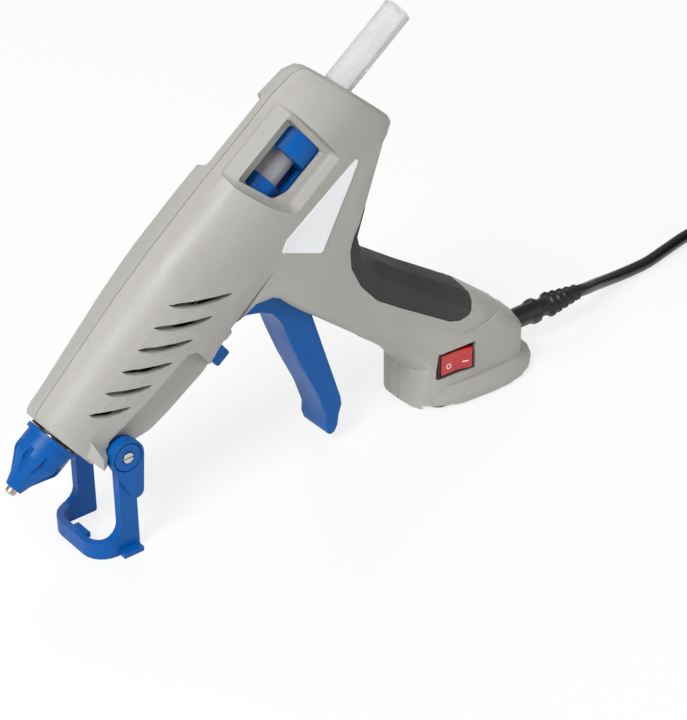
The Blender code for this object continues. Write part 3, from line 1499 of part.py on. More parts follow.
def build_stand(pivot):
    """Wire-like support: two legs with round heads, joined by a band in front."""
    pivot_z = pivot.location.z
    outer = STAND_INNER + STAND_THICKNESS
    rear = STAND_LEG_WIDTH
    face = outer + STAND_PAD_PROUD
    plan = plate(stand_plan(outer, -STAND_BAND_REACH, STAND_CORNER, rear), -pivot_z - OVERRUN, OVERRUN, pivot)
    stand = common(plan, prism(stand_side(pivot_z), -2 * outer, 2 * outer, pivot))
    for side in (-1, 1):
        middle = STAND_INNER + STAND_THICKNESS / 2
        rim = arc((0.0, 0.0), STAND_HEAD_RADIUS, 0, 360, ROUND)[:-1]
        tip = arc((STAND_PAD_TIP_RADIUS, -STAND_PAD_LENGTH), STAND_PAD_TIP_RADIUS, 180, 360, 8)
        low, high = span(side, middle, face)
        pad = hull([Vector((x, y, z)) for x, z in rim + tip for y in (low, high)], pivot)
        low, high = span(side, STAND_INNER - SINK, outer - GAP)
        head = rod((0.0, low, 0.0), (0.0, high, 0.0), STAND_HEAD_RADIUS - GAP, ROUND, pivot)
        low, high = span(side, middle, outer + STAND_FOOT_PROUD)
        foot = block(
            (-0.7 * STAND_LEG_WIDTH, low, -pivot_z - SINK),
            (0.45 * STAND_LEG_WIDTH, high, STAND_FOOT_HEIGHT - pivot_z),
            pivot,
        )
        join(stand, head, pad, foot)
    inner_front = -STAND_BAND_REACH + STAND_BAND_THICKNESS
    corner = STAND_CORNER - STAND_THICKNESS
    hole = stand_plan(STAND_INNER, inner_front, corner, rear + OVERRUN)
    cut(stand, plate(hole, -pivot_z - 2 * OVERRUN, 2 * OVERRUN, pivot))
    middle = STAND_BAND_HEIGHT / 2 - pivot_z
    tab = block(
        (inner_front - STAND_BAND_THICKNESS / 2, -STAND_TAB_HALF, middle),
        (inner_front + STAND_TAB_REACH, STAND_TAB_HALF, middle + STAND_FOOT_HEIGHT),
        pivot,
    )
    far = 2 * STAND_BAND_REACH
    below = block((-far, -far, -pivot_z - OVERRUN), (far, far, -pivot_z), pivot)
    cut(join(stand, tab), below)
    for side in (-1, 1):
        low, high = span(side, STAND_INNER - OVERRUN, face + OVERRUN)
        bore = rod((0.0, low, 0.0), (0.0, high, 0.0), BUSH_RADIUS + RUN, SMALL_ROUND, pivot)
        low, high = span(side, face - BUSH_CAP - GAP, face + OVERRUN)
        seat = rod((0.0, low, 0.0), (0.0, high, 0.0), BUSH_CAP_RADIUS + RUN, SMALL_ROUND, pivot)
        cut(stand, bore, seat)
    return finished(simplify(stand), "stand", "blue")


def build_bushes(pivot):
    """Bushes that the stand turns on, each held by a screw into the housing."""
    face = STAND_INNER + STAND_THICKNESS + STAND_PAD_PROUD
    start = STAND_INNER - RUN + GAP
    for side, name in ((-1, "left"), (1, "right")):
        bush = rod((0.0, side * start, 0.0), (0.0, side * face, 0.0), BUSH_RADIUS, SMALL_ROUND, pivot)
        cap = rod(
            (0.0, side * (face - BUSH_CAP), 0.0), (0.0, side * face, 0.0), BUSH_CAP_RADIUS, SMALL_ROUND, pivot
        )
        join(bush, cap)
        seat = face - BUSH_SCREW_HEAD_HEIGHT
        bore = rod(
            (0.0, side * (start - OVERRUN), 0.0), (0.0, side * (face + OVERRUN), 0.0), BUSH_SCREW_RADIUS + GAP, HIDDEN_ROUND, pivot
        )
        recess = rod(
            (0.0, side * seat, 0.0), (0.0, side * (face + OVERRUN), 0.0), BUSH_SCREW_HEAD_RADIUS + GAP, 16, pivot
        )
        cut(bush, bore, recess)
        finished(bush, "stand_bush_" + name, "blue")
        head = rod(
            (0.0, side * (seat + GAP), 0.0), (0.0, side * (face + GAP), 0.0), BUSH_SCREW_HEAD_RADIUS, 16, pivot
        )
        shaft = rod(
            (0.0, side * (seat - BUSH_SCREW_LENGTH), 0.0), (0.0, side * (seat + GAP + SINK), 0.0), BUSH_SCREW_RADIUS, 12, pivot
        )
        screw = join(head, shaft)
        slot = block(
            (-BUSH_SCREW_HEAD_RADIUS, side * (face - GAP), -GAP), (BUSH_SCREW_HEAD_RADIUS, side * (face + OVERRUN), GAP), pivot
        )
        cut(screw, slot)
        finished(screw, "stand_screw_" + name, "metal")


def build_catch(barrel):
    """Sliding button under the barrel that holds the folded stand, with its spring."""
    place = CATCH_PLACE
    button = block(
        (place - CATCH_HALF_LENGTH, -CATCH_HALF_WIDTH, -CATCH_BOTTOM),
        (place + CATCH_HALF_LENGTH, CATCH_HALF_WIDTH, -CATCH_TOP),
        barrel,
    )
    button = soften(button, CATCH_ROUND / 2, 2)
    lip = block(
        (place - CATCH_HALF_LENGTH, -CATCH_HALF_WIDTH - CATCH_LIP, -CATCH_LEDGE + GAP),
        (place + CATCH_HALF_LENGTH, CATCH_HALF_WIDTH + CATCH_LIP, -CATCH_TOP),
        barrel,
    )
    pocket = rod(
        on_barrel(place, -CATCH_TOP - CATCH_POCKET),
        on_barrel(place, -CATCH_TOP + OVERRUN),
        CATCH_HALF_LENGTH - CATCH_LIP + SPRING_WIRE + GAP,
    )
    return finished(cut(join(button, lip), pocket), "stand_catch", "blue")


def build_catch_spring(barrel):
    """Small spring in the catch, short of the ceiling above it by the catch's travel."""
    low = -CATCH_TOP - CATCH_POCKET + GAP + SPRING_WIRE / 2
    foot = frame_at("catch_spring_seat", on_barrel(CATCH_PLACE, low), BARREL_TILT)
    length = -CATCH_CEILING - CATCH_TRAVEL - GAP - SPRING_WIRE / 2 - low
    route = helix(CATCH_HALF_LENGTH - CATCH_LIP, length, CATCH_SPRING_TURNS, HIDDEN_ROUND)
    return tube("catch_spring", route, SPRING_WIRE / 2, "metal", 1, foot)


# Switch, cord and its fittings in the base


def build_switch():
    """Housing of the rocker switch, an open box set in the left side of the base."""
    half_length, half_height = SWITCH_LENGTH / 2, SWITCH_HEIGHT / 2
    body = block(
        (SWITCH_X - half_length, -SWITCH_FACE, SWITCH_Z - half_height),
        (SWITCH_X + half_length, -SWITCH_FACE + SWITCH_DEPTH - GAP, SWITCH_Z + half_height),
    )
    inside = block(
        (SWITCH_X - half_length + SWITCH_WALL, -SWITCH_FACE - OVERRUN, SWITCH_Z - half_height + SWITCH_WALL),
        (SWITCH_X + half_length - SWITCH_WALL, -SWITCH_FACE + SWITCH_WELL, SWITCH_Z + half_height - SWITCH_WALL),
    )
    reach = half_height - SWITCH_WALL + ROCKER_PIVOT_LENGTH
    socket = rod(
        (SWITCH_X, -ROCKER_AXIS, SWITCH_Z - reach), (SWITCH_X, -ROCKER_AXIS, SWITCH_Z + reach), ROCKER_PIVOT_RADIUS + GAP, 16
    )
    cut(body, inside, socket)
    return finished(body, "switch_body", "black")


def build_rocker(axis):
    """Rocker with its O end pressed in; its two faces lean away from the middle."""
    half_length = SWITCH_LENGTH / 2 - SWITCH_WALL - RUN
    half_height = SWITCH_HEIGHT / 2 - SWITCH_WALL - RUN
    lean = 2 * ROCKER_TILT
    raised = half_length * ROCKER_RAISED_SHARE
    outline = [
        (-half_length, -ROCKER_FACE),
        (0.0, -ROCKER_FACE),
        (raised * math.cos(lean), -ROCKER_FACE - raised * math.sin(lean)),
        (raised, -ROCKER_FACE + SINK),
        (half_length * 0.82, 0.0),
        (0.0, ROCKER_DEPTH),
        (-half_length * 0.82, ROCKER_DEPTH * 0.7),
        (-half_length, 0.0),
    ]
    rocker = plate(outline, -half_height, half_height, axis)
    rocker = soften(rocker, SINK / 4, 1)
    reach = SWITCH_HEIGHT / 2 - SWITCH_WALL + ROCKER_PIVOT_LENGTH - GAP
    join(rocker, rod((0.0, 0.0, -reach), (0.0, 0.0, reach), ROCKER_PIVOT_RADIUS, 16, axis))
    return finished(rocker, "switch_rocker", "red")


def build_boot():
    """Strain relief of the cord: a flange held in the base, a neck, a collar and a ribbed sleeve."""
    ribs = BOOT_END_X - BOOT_COLLAR_X
    profile = [
        (BOOT_FLANGE_X, CORD_RADIUS + GAP),
        (BOOT_FLANGE_X, BOOT_FLANGE_RADIUS),
        (BOOT_FLANGE_X + BOOT_INSIDE, BOOT_FLANGE_RADIUS),
        (BOOT_FLANGE_X + BOOT_INSIDE, BOOT_NECK_RADIUS),
        (BOOT_COLLAR_X - BOOT_RADIUS_RUN, BOOT_NECK_RADIUS),
        (BOOT_COLLAR_X - BOOT_RADIUS_RUN / 2, BOOT_COLLAR_RADIUS),
        (BOOT_COLLAR_X, BOOT_COLLAR_RADIUS),
    ]
    for number in range(BOOT_RIBS):
        start, end = number / BOOT_RIBS, (number + 0.62) / BOOT_RIBS
        full = BOOT_COLLAR_RADIUS + (BOOT_END_RADIUS - BOOT_COLLAR_RADIUS) * start
        neck = CORD_RADIUS + (full - CORD_RADIUS) * 0.45
        profile += [
            (BOOT_COLLAR_X + (start + 0.04) * ribs, neck),
            (BOOT_COLLAR_X + (start + 0.30) * ribs, neck),
            (BOOT_COLLAR_X + (start + 0.38) * ribs, full),
            (BOOT_COLLAR_X + (end + 0.30) * ribs, full),
        ]
    profile += [(BOOT_END_X, BOOT_END_RADIUS), (BOOT_END_X, CORD_RADIUS + GAP)]
    boot = turned(profile, BOOT_ROUND, None, (0.0, CORD_Z))
    return finished(boot, "cord_boot", "black")


def curve_through(points, step):
    """Points a step apart along a smooth curve through the given points, ends straight."""
    knots = [Vector(point) for point in points]
    knots = [2 * knots[0] - knots[1]] + knots + [2 * knots[-1] - knots[-2]]
    fine = []
    for before, start, end, after in zip(knots, knots[1:], knots[2:], knots[3:]):
        for i in range(20):
            t = i / 20
            bend = 2 * start - 2 * end + (end - before) / 2 + (after - start) / 2
            slope = (end - before) / 2
            fine.append(start + slope * t + (3 * (end - start) - 2 * slope - (after - start) / 2) * t**2 + bend * t**3)
    fine.append(knots[-2])
    total = sum((b - a).length for a, b in zip(fine, fine[1:]))
    count = max(2, round(total / step))
    places = [Vector(point) for point in fine]
    walked = [0.0]
    for a, b in zip(places, places[1:]):
        walked.append(walked[-1] + (b - a).length)
    wanted = np.linspace(0.0, total, count + 1)
    axes = [np.interp(wanted, walked, [place[i] for place in places]) for i in range(3)]
    return [Vector(point) for point in zip(*axes)]


def length_of(route):
    return sum((b - a).length for a, b in zip(route, route[1:]))


def coil_point(turn):
    """A point of the cord's long coil, so many turns from its start, spiralling in and out in layers."""
    each = COIL_TURNS / COIL_LAYERS
    turn = min(max(turn, 0.0), COIL_TURNS)
    layer = min(int(turn / each), COIL_LAYERS - 1)
    share = turn / each - layer
    inward = share if layer % 2 == 0 else 1 - share
    radius = COIL_INNER + (1 - inward) * each * COIL_STEP
    height = 0.0
    for change in range(1, COIL_LAYERS):
        climbed = (turn - change * each) / CLIMB_TURNS + 0.5
        height += min(max(climbed, 0.0), 1.0) * COIL_STEP
    angle = math.pi / 2 - math.tau * turn
    end = COIL_RUN / 2 * min(max(RUN_SHARE * math.cos(angle), -1.0), 1.0)
    return Vector((COIL_X + end + radius * math.cos(angle), COIL_Y + radius * math.sin(angle), COIL_Z + height))


def coil_route():
    steps = round(COIL_TURNS * COIL_POINTS)
    return [coil_point(COIL_TURNS * i / steps) for i in range(steps + 1)]


def least_gap(route, radius, apart):
    """Least space between stretches of a tube that lie further apart along it than a length."""
    points = np.array([tuple(point) for point in curve_through(route, radius)])
    walked = np.arange(len(points)) * radius
    distance = np.linalg.norm(points[:, None] - points[None], axis=2)
    far = np.abs(walked[:, None] - walked[None]) > apart
    return distance[far].min() - 2 * radius


def build_cord():
    """The cord in three stretches: out of the boot, the coil, and the tail to the plug."""
    coil = coil_route()
    straight_end = Vector((2 * CORD_RADIUS, 0.0, 0.0))
    coil = [coil[0] - straight_end, *coil, coil[-1] + straight_end]
    start = (CORD_START_X, 0.0, CORD_Z)
    straight = [(CORD_START_X + (BOOT_END_X - CORD_START_X) * share, 0.0, CORD_Z) for share in (0.35, 0.7, 0.9, 1.0)]
    first = coil[0] - Vector((GAP, 0.0, 0.0))
    free = curve_through([start, *straight, *CORD_ROUTE, first], 2 * CORD_RADIUS)
    tube("cord", free, CORD_RADIUS, "black")
    tube("cord_coil", coil, CORD_RADIUS, "black", 1)
    last = coil[-1] + Vector((GAP, 0.0, 0.0))
    tail = curve_through([last, *TAIL_ROUTE, (PLUG_X + GAP, PLUG_Y, PLUG_Z)], 2 * CORD_RADIUS)
    tube("cord_tail", tail, CORD_RADIUS, "black")
    print("least gap in the coil, mm:", round(least_gap(coil, CORD_RADIUS, 6 * CORD_RADIUS) / MM, 2))
    outside = length_of(free) - (BOOT_END_X - CORD_START_X) + length_of(coil) + length_of(tail)
    print("cord outside the strain relief, m:", round(outside, 3))


def build_tie():
    """Band round the turns of the coil."""
    width = COIL_STEP * COIL_TURNS / COIL_LAYERS
    low_r, high_r = COIL_INNER - CORD_RADIUS - GAP, COIL_INNER + width + CORD_RADIUS + GAP
    low_z, high_z = COIL_Z - CORD_RADIUS - GAP, COIL_Z + (COIL_LAYERS - 1) * COIL_STEP + CORD_RADIUS + GAP
    low_z = max(low_z, TIE_THICKNESS)
    frame = frame_at("tie_place", (COIL_X - COIL_RUN / 2, COIL_Y, 0.0))
    frame.rotation_euler = (0.0, 0.0, TIE_ANGLE)
    band = block(
        (low_r - TIE_THICKNESS, -TIE_HALF_WIDTH, low_z - TIE_THICKNESS),
        (high_r + TIE_THICKNESS, TIE_HALF_WIDTH, high_z + TIE_THICKNESS),
        frame,
    )
    band = soften(band, 2 * TIE_THICKNESS, 3, 80)
    inside = block((low_r, -OVERRUN, low_z), (high_r, OVERRUN, high_z), frame)
    return finished(cut(band, inside), "cord_tie", "black")


def build_plug():
    """Flat two pin plug, lying on the coil."""
    outline = [
        (0.0, -0.38 * PLUG_HALF_WIDTH),
        (0.0, 0.38 * PLUG_HALF_WIDTH),
        (-0.30 * PLUG_LENGTH, 0.92 * PLUG_HALF_WIDTH),
        (-0.55 * PLUG_LENGTH, PLUG_HALF_WIDTH),
        (-0.80 * PLUG_LENGTH, PLUG_HALF_WIDTH),
        (-PLUG_LENGTH, 0.74 * PLUG_HALF_WIDTH),
        (-PLUG_LENGTH, -0.74 * PLUG_HALF_WIDTH),
        (-0.80 * PLUG_LENGTH, -PLUG_HALF_WIDTH),
        (-0.55 * PLUG_LENGTH, -PLUG_HALF_WIDTH),
        (-0.30 * PLUG_LENGTH, -0.92 * PLUG_HALF_WIDTH),
    ]
    place = frame_at("plug_place", (PLUG_X, PLUG_Y, PLUG_Z))
    body = soften(plate(outline, -PLUG_HALF_HEIGHT, PLUG_HALF_HEIGHT, place), PLUG_ROUND, 3, 60)
    for side, name in ((-1, "plug_pin_a"), (1, "plug_pin_b")):
        y = side * PIN_OFFSET
        seat = rod(
            (PIN_SEAT - PLUG_LENGTH, y, 0.0), (-PLUG_LENGTH - OVERRUN, y, 0.0), PIN_RADIUS + GAP, 16, place
        )
        cut(body, seat)
        pin = rod(
            (PIN_SEAT - PLUG_LENGTH - GAP, y, 0.0), (-PLUG_LENGTH - PIN_LENGTH, y, 0.0), PIN_RADIUS, 16, place
        )
        finished(soften(pin, PIN_RADIUS / 3, 2), name, "metal")
    return finished(body, "plug_body", "black")


def build_clamp():
    """Bar and two screws that hold the cord against a block of the right half."""
    bar = block(
        (CLAMP_X - CLAMP_HALF, -CORD_RADIUS - GAP - CLAMP_THICKNESS, CORD_Z - CLAMP_REACH),
        (CLAMP_X + CLAMP_HALF, -CORD_RADIUS - GAP, CORD_Z + CLAMP_REACH),
    )
    for side, name in ((-1, "clamp_screw_lower"), (1, "clamp_screw_upper")):
        z = CORD_Z + side * CLAMP_SCREW_OFFSET
        face = -CORD_RADIUS - 2 * GAP - CLAMP_THICKNESS
        head = rod((CLAMP_X, face - BUSH_SCREW_HEAD_HEIGHT, z), (CLAMP_X, face, z), BUSH_SCREW_HEAD_RADIUS, 16)
        shaft = rod((CLAMP_X, face - SINK / 2, z), (CLAMP_X, face + CLAMP_SCREW_LENGTH, z), CLAMP_SCREW_RADIUS, 12)
        hole = rod((CLAMP_X, face - OVERRUN, z), (CLAMP_X, OVERRUN, z), CLAMP_SCREW_RADIUS + GAP, 12)
        cut(bar, hole)
        finished(join(head, shaft), name, "metal")
    return finished(bar, "cord_clamp", "black")


def clamp_screw_holes():
    return [
        rod(
            (CLAMP_X, 0.0, CORD_Z + side * CLAMP_SCREW_OFFSET),
            (CLAMP_X, CLAMP_SCREW_LENGTH, CORD_Z + side * CLAMP_SCREW_OFFSET),
            CLAMP_SCREW_RADIUS + GAP,
            12,
        )
        for side in (-1, 1)
    ]


def build_leads():
    """Wires inside: cord to switch, switch to one heater, and cord to the other heater."""
    x = CORD_START_X - GAP
    back = SWITCH_DEPTH - SWITCH_FACE + LEAD_RADIUS
    for side, name in ((-1, "lead_switched"), (1, "lead_neutral")):
        y = side * LEAD_HOLE_SIDE
        heater = CHAMBER_FLAT + GAP + HEATER_THICKNESS / 2
        first = [(SWITCH_X, back, SWITCH_Z), (SWITCH_X, back + 4 * LEAD_RADIUS, SWITCH_Z)]
        if side > 0:
            first = [(x, CORD_RADIUS / 2, CORD_Z), (x - 4 * LEAD_RADIUS, CORD_RADIUS / 2, CORD_Z)]
        inside = [on_handle(a * HANDLE_LENGTH, b * HANDLE_DEPTH, c * y) for a, b, c in LEAD_SHARES]
        on_way = [on_barrel(a * BARREL_LENGTH, b * BARREL_TOP, c * y) for a, b, c in LEAD_BARREL_SHARES]
        far = HEATER_MIDDLE + HEATER_LENGTH / 2 + GAP
        end = [on_barrel(far + more * LEAD_RADIUS, 0.0, side * heater) for more in (2.5, 0.0)]
        route = curve_through([*first, *inside, *on_way, *end], 5 * LEAD_RADIUS)
        tube(name, route, LEAD_RADIUS, "black", 0)
    last = Vector((SWITCH_X + SWITCH_LENGTH / 4, back, SWITCH_Z - SWITCH_HEIGHT / 4))
    start = Vector((x, -CORD_RADIUS / 2, CORD_Z))
    before = last + Vector((0.0, 4 * LEAD_RADIUS, 0.0))
    route = curve_through([start, start - Vector((4 * LEAD_RADIUS, 0.0, 0.0)), before, last], 3 * LEAD_RADIUS)
    tube("lead_live", route, LEAD_RADIUS, "black", 1)


def build_pad():
    pad = plate(pad_outline(), 0.0, PAD_THICKNESS)
    return finished(pad, "foot_pad", "black")


def build_screws():
    for number, place in enumerate(screw_places(), 1):
        seat = HANDLE_HALF_WIDTH - SCREW_SINK + GAP
        head = rod((place.x, seat, place.z), (place.x, seat + SCREW_HEAD_HEIGHT, place.z), SCREW_HEAD_RADIUS, SMALL_ROUND)
        shaft = rod((place.x, seat - SCREW_LENGTH, place.z), (place.x, seat + SINK, place.z), SCREW_RADIUS, HIDDEN_ROUND)
        screw = join(head, shaft)
        top = seat + SCREW_HEAD_HEIGHT
        for long, wide in ((SCREW_HEAD_RADIUS * 0.6, GAP), (GAP, SCREW_HEAD_RADIUS * 0.6)):
            cut(screw, block((place.x - long, top - SINK, place.z - wide), (place.x + long, top + SINK, place.z + wide)))
        finished(screw, f"housing_screw_{number}", "metal")


def main():
    clear_scene()
    barrel = frame_at("barrel", (TIP_X, 0.0, TIP_Z), BARREL_TILT)
    trigger_pivot = frame_at("trigger_pivot", on_barrel(TRIGGER_PIVOT_PLACE, -TRIGGER_PIVOT_DEPTH))
    stand_pivot = frame_at("stand_pivot", on_barrel(STAND_PIVOT_PLACE, -STAND_PIVOT_DEPTH))
    rocker_axis = frame_at("rocker_axis", (SWITCH_X, -ROCKER_AXIS, SWITCH_Z))
    build_housing(barrel)
    build_grip()
    for build in (
        build_nozzle, build_shield, build_front_ring, build_chamber, build_heaters, build_heater_clip,
        build_mounts, build_fuse, build_inlet_sleeve, build_carriage, build_stick, build_guide,
        build_trigger_pin, build_catch, build_catch_spring,
    ):
        build(barrel)
    build_trigger(trigger_pivot)
    build_trigger_spring()
    build_stand(stand_pivot)
    build_bushes(stand_pivot)
    build_switch()
    build_rocker(rocker_axis)
    build_boot()
    build_clamp()
    build_cord()
    build_leads()
    build_tie()
    build_plug()
    build_pad()
    build_screws()


main()
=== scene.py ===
# %% [markdown]
# # A hot glue gun, dressed for a photograph
# The solids of this glue gun were modelled first, each piece on its own, and packed. Here they are
# loaded as a fixed frame. The lesson gives them rounded edges, finishes, a mains cord and the small
# things that a solid model leaves out, then lights the gun and looks at it from the front left.

# %% Load the solids
import json
import math

import bmesh
import bpy
import numpy as np
from mathutils import Matrix, Vector
from mathutils.bvhtree import BVHTree

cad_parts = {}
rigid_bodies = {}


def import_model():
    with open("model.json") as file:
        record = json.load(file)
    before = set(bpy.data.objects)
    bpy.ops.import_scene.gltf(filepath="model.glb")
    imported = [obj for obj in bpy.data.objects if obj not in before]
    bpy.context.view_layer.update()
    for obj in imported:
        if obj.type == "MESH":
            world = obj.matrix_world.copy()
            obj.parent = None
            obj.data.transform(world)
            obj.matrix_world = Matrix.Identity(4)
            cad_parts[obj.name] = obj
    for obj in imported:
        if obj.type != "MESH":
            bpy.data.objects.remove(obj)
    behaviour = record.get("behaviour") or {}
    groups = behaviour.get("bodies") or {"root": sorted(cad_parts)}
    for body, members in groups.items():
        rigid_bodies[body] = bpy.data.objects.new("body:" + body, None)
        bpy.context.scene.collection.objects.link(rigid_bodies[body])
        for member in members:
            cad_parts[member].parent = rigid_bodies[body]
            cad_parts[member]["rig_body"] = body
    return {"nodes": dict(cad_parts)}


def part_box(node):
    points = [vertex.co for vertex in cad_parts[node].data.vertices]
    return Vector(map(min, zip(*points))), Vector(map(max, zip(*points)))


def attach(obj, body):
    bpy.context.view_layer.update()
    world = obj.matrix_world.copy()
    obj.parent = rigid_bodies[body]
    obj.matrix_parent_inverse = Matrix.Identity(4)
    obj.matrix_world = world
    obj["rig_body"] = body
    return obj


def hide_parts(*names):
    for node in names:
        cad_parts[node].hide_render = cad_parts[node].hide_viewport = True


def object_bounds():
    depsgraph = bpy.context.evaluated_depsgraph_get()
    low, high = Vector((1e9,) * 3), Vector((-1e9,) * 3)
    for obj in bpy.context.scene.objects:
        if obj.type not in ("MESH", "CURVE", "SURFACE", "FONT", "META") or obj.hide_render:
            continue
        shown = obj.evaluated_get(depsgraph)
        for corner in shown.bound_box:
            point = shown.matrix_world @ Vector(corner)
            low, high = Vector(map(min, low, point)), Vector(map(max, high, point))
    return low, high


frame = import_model()
solid_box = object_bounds()
MM = 0.001
scene = bpy.context.scene
print("solids:", len(frame["nodes"]))

# %% [markdown]
# ## Camera
# The gun stands with its nozzle to the left and its handle to the right, and the camera looks down
# on it from the front left. A camera's place can be given by two angles and a distance. Here the
# angles were found by matching straight edges of the gun, and the place is written down directly.
# The last small angle turns the camera, with its place, about the Y axis of the world.

# %% Camera
PICTURE_HEIGHT = 720
FOCAL_PIXELS = 2262
SENSOR_HEIGHT = 36.0  # in the camera's own millimetres
NEAREST_SEEN = 0.01
CAMERA_PLACE = Vector((-0.5383, -0.6102, 0.5124))
AZIMUTH = math.radians(-38.3)
ELEVATION = math.radians(31.8)
ROLL = math.radians(0.6)

back = Vector((
    math.sin(AZIMUTH) * math.cos(ELEVATION),
    -math.cos(AZIMUTH) * math.cos(ELEVATION),
    math.sin(ELEVATION),
))
right = Vector((math.cos(AZIMUTH), math.sin(AZIMUTH), 0.0))
up = back.cross(right)
camera_data = bpy.data.cameras.new("camera")
camera_data.sensor_fit = "VERTICAL"
camera_data.sensor_height = SENSOR_HEIGHT
camera_data.lens = FOCAL_PIXELS / PICTURE_HEIGHT * camera_data.sensor_height
camera_data.clip_start = NEAREST_SEEN
camera = bpy.data.objects.new("camera", camera_data)
turn = Matrix((right, up, back)).transposed().to_4x4()
camera.matrix_world = Matrix.Rotation(ROLL, 4, "Y") @ Matrix.Translation(CAMERA_PLACE) @ turn
scene.collection.objects.link(camera)
scene.camera = camera
print("camera at", [round(x, 3) for x in camera.matrix_world.translation])

# %% [markdown]
# ## Reading a shader tree
# Each finish below is a tree of shader nodes. A short helper adds a node, sets its values and joins
# its inputs, so that a finish reads from its pattern to its surface. The shader itself always stays
# in the material, where its plain numbers are set on its own sockets.


# %% Helpers for shader trees
def add(tree, kind, inputs=None, **settings):
    """Adds a shader node. An input's value is a plain value, or an output socket to join to it."""
    node = tree.nodes.new(kind)
    for name, value in settings.items():
        setattr(node, name, value)
    for name, value in (inputs or {}).items():
        if isinstance(value, bpy.types.NodeSocket):
            tree.links.new(value, node.inputs[name])
        else:
            node.inputs[name].default_value = value
    return node


def maths(tree, operation, first, second):
    """A Math node for two values: returns its result."""
    return add(tree, "ShaderNodeMath", {0: first, 1: second}, operation=operation).outputs[0]


def new_group(name, inputs, outputs):
    """A shader group with named sockets: returns its tree, its input node and its output node."""
    tree = bpy.data.node_groups.new(name, "ShaderNodeTree")
    for title, kind, value in inputs:
        socket = tree.interface.new_socket(title, in_out="INPUT", socket_type=kind)
        if value is not None:
            socket.default_value = value
    for title, kind in outputs:
        tree.interface.new_socket(title, in_out="OUTPUT", socket_type=kind)
    return tree, tree.nodes.new("NodeGroupInput"), tree.nodes.new("NodeGroupOutput")


def place_group(tree, group, inputs):
    """Places a shader group in a tree, with its own values."""
    return add(tree, "ShaderNodeGroup", inputs, node_tree=group)


def colour(red, green, blue):
    """A screen colour of 0 to 255 as the linear colour that a shader wants."""
    shares = [channel / 255 for channel in (red, green, blue)]
    linear = [s / 12.92 if s <= 0.04045 else ((s + 0.055) / 1.055) ** 2.4 for s in shares]
    return (*linear, 1.0)


print("mid grey of the screen in a shader:", round(colour(128, 128, 128)[0], 3))

# %% [markdown]
# ## Patterns that several finishes share
# Moulded plastic takes the fine spark grain of its steel mould, so a highlight breaks up into tiny
# flecks. Its colour is never quite even, hands polish some places more than others, and rubbed edges
# go paler. Each of these is a group that is built once, and each finish places it with its own
# values.

# %% Spark grain: the height of a moulded surface
grain_tree, grain_in, grain_out = new_group(
    "spark_grain",
    [
        ("Vector", "NodeSocketVector", None),
        ("Scale", "NodeSocketFloat", 1500.0),
        ("Pits", "NodeSocketFloat", 0.4),
    ],
    [("Height", "NodeSocketFloat")],
)
at_scale = {"Vector": grain_in.outputs["Vector"], "Scale": grain_in.outputs["Scale"]}
cells = add(grain_tree, "ShaderNodeTexVoronoi", at_scale, feature="SMOOTH_F1")
fine = add(grain_tree, "ShaderNodeTexNoise", {**at_scale, "Detail": 3.0, "Roughness": 0.6})
pits = maths(grain_tree, "MULTIPLY", cells.outputs["Distance"], grain_in.outputs["Pits"])
height = maths(grain_tree, "ADD", pits, fine.outputs["Fac"])
grain_tree.links.new(height, grain_out.inputs["Height"])

# %% Uneven tone: a colour that drifts a little over the piece
tone_tree, tone_in, tone_out = new_group(
    "uneven_tone",
    [
        ("Vector", "NodeSocketVector", None),
        ("Colour", "NodeSocketColor", (0.5, 0.5, 0.5, 1.0)),
        ("Drift", "NodeSocketColor", (0.4, 0.4, 0.4, 1.0)),
        ("Scale", "NodeSocketFloat", 30.0),
        ("Speckle", "NodeSocketFloat", 900.0),
    ],
    [("Colour", "NodeSocketColor")],
)
broad = add(
    tone_tree, "ShaderNodeTexNoise",
    {"Vector": tone_in.outputs["Vector"], "Scale": tone_in.outputs["Scale"], "Detail": 4.0},
)
speckle = add(
    tone_tree, "ShaderNodeTexNoise",
    {"Vector": tone_in.outputs["Vector"], "Scale": tone_in.outputs["Speckle"], "Detail": 2.0},
)
both = maths(tone_tree, "ADD", broad.outputs["Fac"], speckle.outputs["Fac"])
spread = add(tone_tree, "ShaderNodeMapRange", {"Value": both, "From Min": 0.75, "From Max": 1.25})
tone = add(
    tone_tree, "ShaderNodeMix",
    {"Factor": spread.outputs["Result"], "A": tone_in.outputs["Colour"], "B": tone_in.outputs["Drift"]},
    data_type="RGBA",
)
tone_tree.links.new(tone.outputs["Result"], tone_out.inputs["Colour"])

# %% Handling: where the surface is polished and where it is dull
handling_tree, handling_in, handling_out = new_group(
    "handling",
    [
        ("Vector", "NodeSocketVector", None),
        ("Scale", "NodeSocketFloat", 60.0),
        ("Smooth", "NodeSocketFloat", 0.3),
        ("Dull", "NodeSocketFloat", 0.5),
    ],
    [("Roughness", "NodeSocketFloat")],
)
smears = add(
    handling_tree, "ShaderNodeTexNoise",
    {
        "Vector": handling_in.outputs["Vector"], "Scale": handling_in.outputs["Scale"],
        "Detail": 5.0, "Distortion": 0.6,
    },
)
polished = add(
    handling_tree, "ShaderNodeMapRange",
    {
        "Value": smears.outputs["Fac"], "From Min": 0.35, "From Max": 0.65,
        "To Min": handling_in.outputs["Smooth"], "To Max": handling_in.outputs["Dull"],
    },
)
handling_tree.links.new(polished.outputs["Result"], handling_out.inputs["Roughness"])

